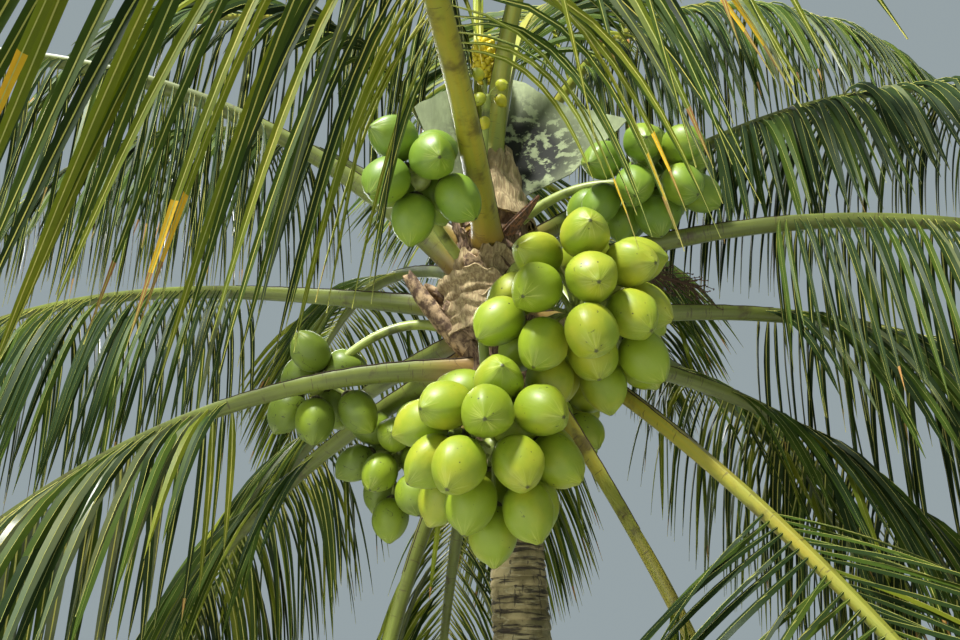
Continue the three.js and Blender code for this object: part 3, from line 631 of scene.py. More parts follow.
def apply_modifiers(piece):
    select_only(piece)
    for modifier in list(piece.modifiers):
        bpy.ops.object.modifier_apply(modifier=modifier.name)


def places_of(piece):
    places = np.zeros(len(piece.data.vertices) * 3)
    piece.data.vertices.foreach_get("co", places)
    return places.reshape(-1, 3)


def move_to(piece, places):
    piece.data.vertices.foreach_set("co", np.asarray(places).ravel())
    piece.data.update()


def sheet_piece(name, columns, rows, shape, thickness):
    """A grid that a function of its two shares, across and up, shapes, with a wall of even thickness."""
    bpy.ops.object.select_all(action="DESELECT")
    bpy.ops.mesh.primitive_grid_add(x_subdivisions=columns, y_subdivisions=rows, size=1)
    piece = bpy.context.object
    piece.name = name
    piece.data.name = name
    shares = places_of(piece)[:, :2] + 0.5
    move_to(piece, shape(shares[:, 0], shares[:, 1]))
    wall = piece.modifiers.new("wall", "SOLIDIFY")
    wall.thickness = thickness
    wall.offset = 0
    apply_modifiers(piece)
    smooth(piece, SMOOTH_TO["sheet"])
    return piece


def joined(pieces, name):
    select_only(pieces[0])
    for piece in pieces:
        piece.select_set(True)
    bpy.ops.object.join()
    whole = bpy.context.object
    whole.name = name
    whole.data.name = name
    return whole


def round_sections(places, radii, sides):
    """Rings of points round a line of places, [place, corner]."""
    along = tangents(places)
    first, _ = square_to(along[0])
    rings = []
    for place, way, radius in zip(places, along, radii):
        first = unit(first - way * np.dot(first, way))
        second = np.cross(way, first)
        angles = 2 * np.pi * np.arange(sides)[:, None] / sides
        rings.append(place + radius * (first * np.cos(angles) + second * np.sin(angles)))
    return np.array(rings)


def rough(places, scale, seed=0.0):
    """Even noise from -1 to 1 at each place."""
    return np.array([noise.noise(Vector(p) * scale + Vector((seed, seed, seed))) for p in places])


def dress(piece, finish, nodes=()):
    piece.data.materials.clear()
    piece.data.materials.append(finish)
    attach(piece, "root")
    if nodes:
        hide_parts(*nodes)


# Finishes


class Finish:
    """A material with one Principled shader, whose colour and relief are built up step by step."""

    def __init__(self, name, roughness, coat=0.0):
        self.material = bpy.data.materials.new(name)
        self.material.use_nodes = True
        self.tree = self.material.node_tree
        self.shader = self.tree.nodes["Principled BSDF"]
        self.shader.inputs["Roughness"].default_value = roughness
        self.shader.inputs["Coat Weight"].default_value = coat
        self.shader.inputs["Coat Roughness"].default_value = 0.25

    def new(self, kind, **settings):
        node = self.tree.nodes.new(kind)
        for name, value in settings.items():
            setattr(node, name, value)
        return node

    def feed(self, socket, value):
        if isinstance(value, bpy.types.NodeSocket):
            self.tree.links.new(value, socket)
        elif hasattr(value, "__len__") and len(value) == 3 and socket.type == "RGBA":
            socket.default_value = (*value, 1)
        else:
            socket.default_value = value

    def coordinates(self, scale=(1, 1, 1), attribute=None):
        if attribute:
            source = self.new("ShaderNodeAttribute", attribute_name=attribute).outputs["Vector"]
        else:
            source = self.new("ShaderNodeTexCoord").outputs["Object"]
        mapping = self.new("ShaderNodeMapping")
        mapping.inputs["Scale"].default_value = scale
        self.feed(mapping.inputs["Vector"], source)
        return mapping.outputs["Vector"]

    def group(self, tree, **inputs):
        node = self.new("ShaderNodeGroup", node_tree=tree)
        for name, value in inputs.items():
            self.feed(node.inputs[name.title()], value)
        return node.outputs[0]

    def mottle(self, scale, low, high, stretch=(1, 1, 1), attribute=None):
        """Cloudy patches on the piece, or along the attribute that its pattern follows."""
        place = self.coordinates(stretch, attribute)
        return self.group(mottle_group(), vector=place, scale=scale, low=low, high=high)

    def grain_height(self):
        """The third value of the piece's own grain: how far along a stalk, or how near a nut's beak."""
        split = self.new("ShaderNodeSeparateXYZ")
        self.feed(split.inputs[0], self.coordinates(attribute="grain"))
        return split.outputs["Z"]

    def ramp(self, value, zero_at, one_at, interpolation="SMOOTHSTEP"):
        node = self.new("ShaderNodeMapRange", interpolation_type=interpolation)
        node.inputs["From Min"].default_value = zero_at
        node.inputs["From Max"].default_value = one_at
        self.feed(node.inputs["Value"], value)
        return node.outputs[0]

    def blend(self, mask, first, second):
        node = self.new("ShaderNodeMix", data_type="RGBA")
        self.feed(node.inputs[0], mask)
        self.feed(node.inputs[6], first)
        self.feed(node.inputs[7], second)
        return node.outputs[2]

    def layers(self, base, *layers):
        """Lays colours over a base one by one, each as strongly as its mask times its share."""
        for mask, share, colour in layers:
            base = self.blend(self.times(mask, share), base, colour)
        return base

    def times(self, first, second):
        node = self.new("ShaderNodeMath", operation="MULTIPLY", use_clamp=True)
        self.feed(node.inputs[0], first)
        self.feed(node.inputs[1], second)
        return node.outputs[0]

    def colour(self, value):
        self.feed(self.shader.inputs["Base Color"], value)

    def relief(self, height, distance, strength=1.0):
        bump = self.new("ShaderNodeBump")
        bump.inputs["Strength"].default_value = strength
        bump.inputs["Distance"].default_value = distance
        self.feed(bump.inputs["Height"], height)
        self.feed(self.shader.inputs["Normal"], bump.outputs["Normal"])

    def let_light_through(self, share, colour):
        """Adds the light that comes through a thin leaf from its far side."""
        through = self.new("ShaderNodeBsdfTranslucent")
        both = self.new("ShaderNodeMixShader")
        self.feed(through.inputs["Color"], colour)
        both.inputs[0].default_value = share
        self.feed(both.inputs[1], self.shader.outputs[0])
        self.feed(both.inputs[2], through.outputs[0])
        self.feed(self.tree.nodes["Material Output"].inputs["Surface"], both.outputs[0])


def shader_group(name, kinds, **inputs):
    """The mask of an own node group: its nodes by kind, and its inputs, Vector and the numbers given."""
    tree = bpy.data.node_groups.new(name, "ShaderNodeTree")
    tree.interface.new_socket("Vector", in_out="INPUT", socket_type="NodeSocketVector")
    for label, value in inputs.items():
        socket = tree.interface.new_socket(label, in_out="INPUT", socket_type="NodeSocketFloat")
        socket.default_value = value
    tree.interface.new_socket("Mask", in_out="OUTPUT", socket_type="NodeSocketFloat")
    given = tree.nodes.new("NodeGroupInput")
    made = tree.nodes.new("NodeGroupOutput")
    nodes = [tree.nodes.new(f"ShaderNode{kind}") for kind in kinds]
    tree.links.new(given.outputs["Vector"], nodes[0].inputs["Vector"])
    tree.links.new(given.outputs["Scale"], nodes[0].inputs["Scale"])
    tree.links.new(nodes[-1].outputs[0], made.inputs[0])
    return tree, given, nodes


def mottle_group():
    """Cloudy patches: 1 inside a patch and 0 outside, with soft edges between Low and High."""
    found = bpy.data.node_groups.get("Mottle")
    if found:
        return found
    kinds = ("TexNoise", "MapRange")
    tree, given, (cloud, edges) = shader_group("Mottle", kinds, Scale=5.0, Low=0.4, High=0.6)
    cloud.inputs["Detail"].default_value = 5
    cloud.inputs["Roughness"].default_value = 0.6
    edges.interpolation_type = "SMOOTHSTEP"
    tree.links.new(cloud.outputs[0], edges.inputs["Value"])
    tree.links.new(given.outputs["Low"], edges.inputs["From Min"])
    tree.links.new(given.outputs["High"], edges.inputs["From Max"])
    return tree


def speck_group():
    """Small round specks of many sizes: 1 inside a speck and 0 outside."""
    found = bpy.data.node_groups.get("Specks")
    if found:
        return found
    kinds = ("TexVoronoi", "Math", "MapRange")
    tree, given, (cells, low, inside) = shader_group("Specks", kinds, Scale=30.0, Size=0.2)
    inside.inputs["To Min"].default_value = 1
    inside.inputs["To Max"].default_value = 0
    low.operation = "MULTIPLY"
    low.inputs[1].default_value = 0.6
    tree.links.new(cells.outputs["Distance"], inside.inputs["Value"])
    tree.links.new(given.outputs["Size"], low.inputs[0])
    tree.links.new(low.outputs[0], inside.inputs["From Min"])
    tree.links.new(given.outputs["Size"], inside.inputs["From Max"])
    return tree


def line_group():
    """Thin wavy lines: 1 on a line and 0 beside it."""
    found = bpy.data.node_groups.get("Wavy lines")
    if found:
        return found
    kinds = ("TexNoise", "Math", "Math", "MapRange")
    tree, given, (cloud, level, distance, inside) = shader_group("Wavy lines", kinds, Scale=8.0, Width=0.01)
    cloud.inputs["Detail"].default_value = 4
    level.operation = "SUBTRACT"
    level.inputs[1].default_value = 0.5
    distance.operation = "ABSOLUTE"
    inside.inputs["To Min"].default_value = 1
    inside.inputs["To Max"].default_value = 0
    tree.links.new(cloud.outputs[0], level.inputs[0])
    tree.links.new(level.outputs[0], distance.inputs[0])
    tree.links.new(distance.outputs[0], inside.inputs["Value"])
    tree.links.new(given.outputs["Width"], inside.inputs["From Max"])
    return tree


def leaf_finish(name, colour, through, share, roughness):
    """Leathery leaf with warmer patches, which lets a share of the light through."""
    finish = Finish(name, roughness)
    finish.shader.inputs["Specular IOR Level"].default_value = 0.16
    warm = tuple(min(1, c * k) for c, k in zip(colour, (1.6, 1.3, 1.0)))
    finish.colour(finish.blend(finish.mottle(3.0, 0.3, 0.75), colour, warm))
    finish.let_light_through(share, through)
    return finish.material


def stalk_finish(name, colour, shade, foot, stain, stain_from, band_from):
    """Waxy green rind with long streaks, an orange-tan foot, brown stains and thin marks across it."""
    finish = Finish(name, 0.46, coat=0.08)
    streak = finish.mottle(1.0, 0.35, 0.7, (55, 55, 2.2), "grain")
    patch = finish.mottle(2.6, 0.42, 0.7)
    spot = finish.mottle(9.0, stain_from, 0.72)
    band = finish.mottle(1.0, band_from, band_from + 0.03, (11, 11, 85), "grain")
    low = finish.ramp(finish.grain_height(), 0.34, 0.02)
    finish.colour(finish.layers(
        colour,
        (streak, 0.45, shade),
        (patch, 0.6, shade),
        (low, 0.75, foot),
        (band, 0.6, stain),
        (spot, 0.8, stain),
    ))
    finish.relief(streak, 0.0012, 0.4)
    return finish.material


def nut_finish(name, colour, sunny, streak_colour, speck_colour, scar_from, cracks=False):
    """Satin husk: cloudy green, yellow rays and dark wrinkles round the beak, specks, scars and cracks."""
    finish = Finish(name, 0.46, coat=0.05)
    finish.shader.inputs["Specular IOR Level"].default_value = 0.4
    height = finish.grain_height()
    tip = finish.ramp(height, 0.62, 0.97)
    pucker = finish.ramp(height, 0.9, 0.985)
    scar = finish.ramp(height, 0.99, 0.998, "LINEAR")
    patch = finish.mottle(4.0, 0.42, 0.72)
    rays = finish.mottle(1.6, 0.5, 0.66, (5, 5, 0.5), "grain")
    wrinkles = finish.mottle(1.5, 0.52, 0.6, (9, 9, 0.5), "grain")
    specks = finish.group(speck_group(), vector=finish.coordinates(), scale=42.0, size=0.16)
    scars = finish.mottle(34.0, scar_from, scar_from + 0.03, (1, 2.4, 1))
    layers = [
        (patch, 1, sunny),
        (finish.times(tip, rays), 0.5, streak_colour),
        (finish.times(pucker, wrinkles), 0.5, speck_colour),
        (scar, 0.85, speck_colour),
        (specks, finish.mottle(11.0, 0.56, 0.62), speck_colour),
    ]
    if cracks:
        line = finish.group(line_group(), vector=finish.coordinates(), scale=8.0, width=0.007)
        layers.append((line, finish.mottle(5.0, 0.5, 0.54), speck_colour))
    layers.append((scars, 0.8, speck_colour))
    finish.colour(finish.layers(colour, *layers))
    finish.relief(rays, 0.0008, 0.25)
    return finish.material


def bark_finish(settings):
    """Olive-tan bark: pale plates, moss, thin pale ridges, and dark cracks that run round and down."""
    finish = Finish("ringed_bark", 0.92)
    round_cracks = finish.mottle(1.0, 0.53, 0.6, (7, 7, 62))
    ridges = finish.group(line_group(), vector=finish.coordinates((5, 5, 30)), scale=1.0, width=0.022)
    finish.colour(finish.layers(
        settings.bark_colour,
        (finish.mottle(13.0, 0.4, 0.62), 1, settings.plate_colour),
        (finish.mottle(5.0, 0.56, 0.66), 0.55, settings.lichen_colour),
        (finish.mottle(7.0, 0.5, 0.64), 0.6, settings.moss_colour),
        (ridges, 0.55, settings.lichen_colour),
        (round_cracks, 0.85, settings.crack_colour),
        (finish.mottle(1.0, 0.58, 0.64, (46, 46, 9)), 0.7, settings.crack_colour),
    ))
    finish.relief(round_cracks, -0.004)
    return finish.material


def fibre_finish(name, colour, dark, stretch=(90, 90, 9), roughness=0.9):
    """Dry sheath: fine fibres with darker hollows between them."""
    finish = Finish(name, roughness)
    fibres = finish.mottle(1.0, 0.38, 0.64, stretch)
    patch = finish.mottle(8.0, 0.45, 0.68)
    finish.colour(finish.layers(dark, (fibres, 0.75, colour), (patch, 0.6, dark)))
    finish.relief(fibres, 0.002)
    return finish.material


def veil_finish(settings):
    """Pale web of sheath fibre that lets light through, with black mould near its foot."""
    finish = Finish("pale_veil", 0.8)
    web = finish.mottle(1.0, 0.4, 0.62, (60, 60, 14))
    folds = finish.mottle(7.0, 0.4, 0.7)
    away = finish.new("ShaderNodeVectorMath", operation="DISTANCE")
    away.inputs[1].default_value = MOULD_MIDDLE
    finish.feed(away.inputs[0], finish.coordinates())
    near = finish.ramp(away.outputs["Value"], MOULD_REACH[1], MOULD_REACH[0], "LINEAR")
    colour = finish.layers(
        settings.veil_colour,
        (web, 0.3, settings.veil_shade),
        (folds, 0.35, settings.veil_shade),
        (finish.mottle(17.0, 0.41, 0.5), near, settings.mould_colour),
    )
    finish.colour(colour)
    finish.relief(folds, 0.006, 0.5)
    finish.let_light_through(0.35, colour)
    return finish.material


# Sizes and colours that can be changed in the sidebar


def length_property(name, description, default):
    return FloatProperty(name=name, description=description, default=default, min=0, unit="LENGTH")


def number_property(name, description, default, **kind):
    return FloatProperty(name=name, description=description, default=default, **kind)


def colour_property(name, description, default):
    return FloatVectorProperty(
        name=name, description=description, default=default, min=0, max=1, size=3, subtype="COLOR")


class PalmTrunkSettings(bpy.types.PropertyGroup):
    """Sizes and colours of the bark"""

    ring_spacing: length_property("Ring spacing", "Height of one ring of the trunk", 0.038)
    ring_relief: length_property("Ring relief", "How far a ring stands out over the next one", 0.0045)
    wobble: length_property("Wobble", "How far the rings rise and fall round the trunk", 0.02)
    pitting: length_property("Pitting", "Depth of the pits in the bark", 0.007)
    sides: IntProperty(name="Sides", description="Faces round the trunk", default=96, min=12, max=256)
    bark_colour: colour_property("Bark", "Olive-tan of the bark", (0.18, 0.145, 0.06))
    plate_colour: colour_property("Plates", "Pale weathered plates", (0.34, 0.28, 0.13))
    lichen_colour: colour_property("Lichen", "Pale lichen and ridges", (0.42, 0.38, 0.22))
    moss_colour: colour_property("Moss", "Dark moss", (0.06, 0.06, 0.022))
    crack_colour: colour_property("Cracks", "Dark cracks between the rings", (0.022, 0.016, 0.012))


class PalmFrondSettings(bpy.types.PropertyGroup):
    """Sizes and colours of the fronds"""

    leaflet_spacing: length_property("Leaflet spacing", "Distance from leaflet to leaflet", 0.0335)
    leaflet_width: length_property("Leaflet width", "Width of the longest leaflets, laid flat", 0.05)
    leaflet_thickness: length_property("Leaflet thickness", "Thickness at the fold", 0.0014)
    midrib_width: length_property("Midrib width", "Width of a leaflet's midrib at its root", 0.0085)
    fold: number_property("Fold", "How steeply a leaflet's halves drop from its midrib, in degrees", 23)
    twist: number_property("Twist", "How far a leaflet turns about its own length, in degrees", 34)
    # Of these leaflet colours only green is the leaflets' own: the dark green is painted shade, the lime is
    # painted sunlight and the greyish green is a painted sheen
    deep_colour: colour_property("Deep green", "Leaflets in the shade", (0.017, 0.037, 0.008))
    green_colour: colour_property("Green", "Most leaflets", (0.048, 0.09, 0.012))
    lime_colour: colour_property("Lime", "Leaflets in the sun", (0.15, 0.2, 0.02))
    silver_colour: colour_property("Silver", "Leaflets that shine", (0.1, 0.135, 0.07))
    midrib_colour: colour_property("Midrib", "Yellow-green midribs", (0.46, 0.5, 0.14))
    dry_colour: colour_property("Dry tip", "Straw-brown tips", (0.36, 0.2, 0.07))
    yellow_colour: colour_property("Yellow tip", "Yellow tips of the front frond", (0.72, 0.47, 0.03))
    pale_stalk: colour_property("Pale stalk", "Stalks of young fronds", (0.22, 0.27, 0.035))
    olive_stalk: colour_property("Olive stalk", "Stalks of old fronds", (0.11, 0.13, 0.022))
    golden_stalk: colour_property("Golden stalk", "Stalks in full sun", (0.34, 0.28, 0.022))
    stalk_foot: colour_property("Stalk foot", "Orange-tan foot of a stalk", (0.33, 0.17, 0.04))
    stalk_stain: colour_property("Stalk stain", "Brown stains and edges", (0.06, 0.034, 0.013))


class PalmFruitSettings(bpy.types.PropertyGroup):
    """Sizes and colours of the bunches"""

    ridges: number_property("Ridges", "How far the three ridges stand out", 0.15, min=0, max=0.3)
    puckers: number_property("Puckers", "Depth of the folds round the beak", 0.07, min=0, max=0.2)
    beak: length_property("Beak", "How far a nut's beak stands out", 0.011)
    lime_husk: colour_property("Lime husk", "Nuts in front", (0.22, 0.3, 0.014))
    green_husk: colour_property("Green husk", "Nuts at the top", (0.135, 0.225, 0.018))
    # The olive husk is the nut colour darkened as painted shade, for the two bunches on the left
    olive_husk: colour_property("Olive husk", "Nuts in the shade", (0.14, 0.2, 0.02))
    young_husk: colour_property("Young husk", "Small nuts at the heart", (0.3, 0.34, 0.02))
    sunny_husk: colour_property("Sunny husk", "Yellower side of a nut", (0.36, 0.37, 0.02))
    ray_colour: colour_property("Rays", "Yellow rays round the beak", (0.5, 0.52, 0.12))
    bud_colour: colour_property("Buds", "Yellow flower buds", (0.62, 0.5, 0.02))
    speck_colour: colour_property("Specks", "Brown specks and scars", (0.03, 0.028, 0.01))
    strand_colour: colour_property("Strands", "Stalks of the nuts", (0.27, 0.33, 0.06))
    cap_colour: colour_property("Caps", "Brown-green scales on a nut's top", (0.16, 0.15, 0.05))


class PalmHeartSettings(bpy.types.PropertyGroup):
    """Sizes and colours of the sheaths and fibres round the heart"""

    sheath_thickness: length_property("Sheath thickness", "Thickness of a brown sheath", 0.007)
    fibres: IntProperty(name="Fibres", description="Loose fibres round the heart", default=420, min=0)
    fibre_colour: colour_property("Fibre", "Brown sheath fibre", (0.3, 0.2, 0.1))
    paper_colour: colour_property("Papery sheath", "Tan papery sheath", (0.5, 0.4, 0.2))
    paper_shade: colour_property("Papery shade", "Brown hollows of a papery sheath", (0.24, 0.17, 0.08))
    flap_colour: colour_property("Old foot", "Tan feet of dropped fronds", (0.6, 0.42, 0.22))
    fibre_dark: colour_property("Dark fibre", "Brown hollows between fibres", (0.075, 0.04, 0.02))
    husk_colour: colour_property("Husk", "Orange-brown dry spathe", (0.33, 0.14, 0.05))
    twig_colour: colour_property("Twig", "Grey-brown dry flower twigs", (0.13, 0.075, 0.045))
    veil_colour: colour_property("Veil", "Whitish web of fibre", (0.4, 0.46, 0.24))
    veil_shade: colour_property("Veil shade", "Darker threads in the web", (0.2, 0.23, 0.12))
    mould_colour: colour_property("Mould", "Black mould on the web", (0.02, 0.022, 0.014))


class PalmStageSettings(bpy.types.PropertyGroup):
    """Camera, lights and floor"""

    camera_place: FloatVectorProperty(
        name="Camera", description="Place of the camera", default=(-0.195, -3.0, 1.6), size=3,
        subtype="TRANSLATION")
    camera_pitch: number_property("Pitch", "How far the camera looks up, in degrees", 25)
    lens: number_property("Lens", "Focal length in millimetres", 28, min=8)
    key_power: number_property("Key", "Power of the main light", 2700, unit="POWER")
    fill_power: number_property("Fill", "Power of the light beside the camera", 70, unit="POWER")
    back_power: number_property("Back", "Power of the light behind the palm", 900, unit="POWER")
    sky_strength: number_property("Sky", "Strength of the even light all round", 0.46)
    sky_colour: colour_property("Sky colour", "Colour of the backdrop and the even light", (0.66, 0.78, 0.82))
    floor_colour: colour_property("Floor", "Pale floor", (0.62, 0.62, 0.58))


# Trunk


def make_trunk(settings):
    """The bark's profile is extruded point by point, spun round, and roughened."""
    draw = random.Random(SEED)
    profile = [(0.0, 0.0), (float(trunk_radius(0)), 0.0)]
    z = 0.0
    while z < TRUNK_HEIGHT - settings.ring_spacing:
        height = settings.ring_spacing * draw.uniform(*RING_HEIGHTS)
        relief = settings.ring_relief * draw.uniform(*RING_RELIEFS)
        for share, out in RING_PROFILE:
            level = z + share * height
            profile.append((float(trunk_radius(level)) + relief * (out - RING_SUNK), level))
        z += height
    profile += [(HEART_RADIUS * 0.9, TRUNK_HEIGHT), (0.0, TRUNK_HEIGHT)]

    bpy.ops.object.select_all(action="DESELECT")
    bpy.ops.mesh.primitive_plane_add(size=0.1)
    trunk = bpy.context.object
    trunk.name = "ringed_trunk"
    bpy.ops.object.mode_set(mode="EDIT")
    bpy.ops.mesh.merge(type="CENTER")
    here = profile[0]
    for there in profile[1:]:
        step = (there[0] - here[0], 0, there[1] - here[1])
        bpy.ops.mesh.extrude_region_move(TRANSFORM_OT_translate={"value": step})
        here = there
    bpy.ops.mesh.select_all(action="SELECT")
    bpy.ops.mesh.spin(steps=settings.sides, angle=2 * math.pi, center=(0, 0, 0), axis=(0, 0, 1))
    bpy.ops.mesh.select_all(action="SELECT")
    bpy.ops.mesh.remove_doubles(threshold=1e-5)
    bpy.ops.mesh.normals_make_consistent(inside=False)
    bpy.ops.object.mode_set(mode="OBJECT")

    for label, scale, strength, direction in (
        ("wobble", WOBBLE_SIZE, settings.wobble, "Z"),
        ("pits", PIT_SIZE, settings.pitting, "NORMAL"),
        ("swell", SWELL_SIZE, settings.pitting, "NORMAL"),
    ):
        texture = bpy.data.textures.new(label, "CLOUDS")
        texture.noise_scale = scale
        dent = trunk.modifiers.new(label, "DISPLACE")
        dent.texture = texture
        dent.texture_coords = "LOCAL"
        dent.strength = strength
        dent.direction = direction
    apply_modifiers(trunk)
    places = places_of(trunk)
    near_foot = places[:, 2] < 0.5 * settings.ring_spacing
    places[near_foot, 2] = np.maximum(places[near_foot, 2], 0)
    places[np.abs(places[:, 2]) < settings.wobble, 2] = 0
    places[:, 0] -= LEAN * places[:, 2] ** 2
    move_to(trunk, places)
    smooth(trunk, SMOOTH_TO["trunk"])
    dress(trunk, bark_finish(settings), ["trunk"])


# Frond stalks


def directions(frond, shares):
    """Along, side and up of a frond at shares of its length."""
    shares = np.asarray(shares, dtype=float)
    slope = np.radians(mix(frond.rise, frond.fall, np.maximum(shares, 0) ** frond.curl))[..., None]
    out = heading(frond.azimuth + frond.swing * shares)
    along = UP * np.sin(slope) + out * np.cos(slope)
    side = np.cross(out, UP)
    return along, side, np.cross(side, along)


def spine_of(frond):
    start = trunk_middle(frond.foot) + heading(frond.azimuth) * (trunk_radius(frond.foot) - RIB_SUNK)
    along, _, _ = directions(frond, (np.arange(SPINE_STEPS) + 0.5) / SPINE_STEPS)
    steps = np.cumsum(along * frond.length / SPINE_STEPS, axis=0)
    return np.vstack([start, start + steps])


def on_spine(spine, shares):
    place = np.asarray(shares, dtype=float) * SPINE_STEPS
    i = np.clip(np.floor(place).astype(int), 0, SPINE_STEPS - 1)
    return mix(spine[i], spine[i + 1], (place - i)[..., None])


def rib_size(sizes, shares):
    bare = mix(sizes[0], sizes[1], smoothstep(shares, 0, RIB_PETIOLE))
    leafy = mix(sizes[1], sizes[2], (shares - RIB_PETIOLE) / (1 - RIB_PETIOLE))
    return np.where(shares < RIB_PETIOLE, bare, leafy)


def rib_sections(frond, spine, shares):
    """Rings of a stalk and rib: a channel on top of the bare stalk, a low ridge on top of the rib."""
    _, side, up = directions(frond, shares)
    flare = np.exp(-shares * frond.length / RIB_FLARE_REACH)
    half = rib_size(RIB_WIDTH, shares) / 2 * (1 + RIB_FLARE[0] * flare)
    depth = rib_size(RIB_DEPTH, shares) / 2 * (1 + RIB_FLARE[1] * flare)
    section = np.repeat(RIB_SECTION[None], len(shares), axis=0)
    leafy = smoothstep(shares, *(RIB_PETIOLE * times for times in RIB_RIDGE_FROM))[:, None]
    section[:, RIB_CHANNEL, 1] = mix(section[:, RIB_CHANNEL, 1], np.array(RIB_RIDGE), leafy)
    across = section[:, :, 0] * half[:, None]
    rise = section[:, :, 1] * depth[:, None]
    middle = on_spine(spine, shares)[:, None]
    places = middle - side[:, None] * across[..., None] + up[:, None] * rise[..., None]
    distance = np.repeat((shares * frond.length)[:, None], section.shape[1], axis=1)
    return places, np.stack([across, rise, distance], axis=-1)


def frond_nodes(index):
    return [node for node in CAD_NODES if node.startswith(f"frond_{index + 1:02d}")]


def make_frond_stalks(settings):
    """The stalk and rib of every frond, by colour, and the dark ragged edges of its channel."""
    looks = {
        "pale": (settings.pale_stalk, settings.golden_stalk),
        "olive": (settings.olive_stalk, settings.pale_stalk),
        "golden": (settings.golden_stalk, settings.pale_stalk),
    }
    finishes = {
        kind: stalk_finish(
            f"{kind}_stalk", colour, shade, settings.stalk_foot, settings.stalk_stain, *STALK_MARKS[kind])
        for kind, (colour, shade) in looks.items()
    }
    edges = Skin()
    for kind, finish in finishes.items():
        stalks = Skin()
        nodes = []
        for index, frond in enumerate(FRONDS):
            if frond.stalk != kind:
                continue
            spine = spine_of(frond)
            places, grain = rib_sections(frond, spine, STALK_SHARES)
            stalks.tubes(places[None], grain[None])
            nodes += frond_nodes(index)
            rims, _ = rib_sections(frond, spine, EDGE_SHARES)
            for corner in RIB_EDGES:
                wave = EDGE_WAVE * np.sin(np.arange(len(EDGE_SHARES)) * EDGE_WAVE_TURN)
                radii = EDGE_RADIUS * (1 - EDGE_TAPER * EDGE_SHARES / EDGE_SHARES[-1])
                edges.tubes(round_sections(rims[:, corner] + wave[:, None] * UP, radii, EDGE_SIDES)[None])
        dress(stalks.piece(f"{kind}_frond_stalks", SMOOTH_TO["stalk"]), finish, nodes)
    stain = fibre_finish("stalk_edge", settings.stalk_stain, tuple(0.4 * c for c in settings.stalk_stain))
    dress(edges.piece("stalk_edges", SMOOTH_TO["stalk"]), stain)


# What the leaflets are pushed aside by


class Rods:
    """Round-ended rods that leaflets lie against: from, to, radius, and the frond that each belongs to."""

    def __init__(self):
        self.starts, self.ends, self.radii, self.owners = [], [], [], []

    def add(self, start, end, radius, owner=-1):
        self.starts.append(start)
        self.ends.append(end)
        self.radii.append(radius)
        self.owners.append(owner)

    def settle(self):
        self.starts = np.array(self.starts)
        self.reach = np.array(self.ends) - self.starts
        self.square = np.maximum(np.sum(self.reach**2, axis=1), 1e-9)
        self.radii = np.array(self.radii)
        self.owners = np.array(self.owners)

    def push(self, places, owner, room):
        """How far each place has to move to be clear of the rod that it is deepest in."""
        other = self.owners != owner
        starts, reach, square = self.starts[other], self.reach[other], self.square[other]
        offset = places[:, None] - starts[None]
        share = np.clip(np.sum(offset * reach, axis=2) / square, 0, 1)
        away = offset - reach * share[..., None]
        distance = np.linalg.norm(away, axis=2)
        lack = self.radii[other] + room - distance
        deepest = np.argmax(lack, axis=1)
        rows = np.arange(len(places))
        depth = np.maximum(lack[rows, deepest], 0)[:, None]
        return away[rows, deepest] / np.maximum(distance[rows, deepest], 1e-6)[:, None] * depth


def leaflet_rods(bunches):
    """Rods for the ribs, the trunk and the nuts."""
    rods = Rods()
    for index, frond in enumerate(FRONDS):
        shares = np.linspace(0, 1, LEAFLET_ROD_STEPS)
        places = on_spine(spine_of(frond), shares)
        radii = (rib_size(RIB_WIDTH, shares) + rib_size(RIB_DEPTH, shares)) / 4
        for k in range(len(shares) - 1):
            rods.add(places[k], places[k + 1], radii[k], index)
    for z in np.arange(0.2, TRUNK_HEIGHT, CROWN_RADIUS):
        rods.add(trunk_middle(z), trunk_middle(z + CROWN_RADIUS), trunk_radius(z))
    for bunch, nuts in bunches:
        for place, _ in nuts:
            rods.add(place, place, nut_room(bunch) * 0.97)
    rods.settle()
    return rods


# Leaflets


def leaflet_length(share):
    before = np.minimum(share / LEAFLET_LONGEST_AT, 1)
    after = np.maximum((share - LEAFLET_LONGEST_AT) / (1 - LEAFLET_LONGEST_AT), 0)
    grown = mix(LEAFLET_FOOT_SHARE, 1, np.sin(before * np.pi / 2))
    return LEAFLET_LONGEST * mix(grown, LEAFLET_TIP_SHARE, after**LEAFLET_TIP_FALL)


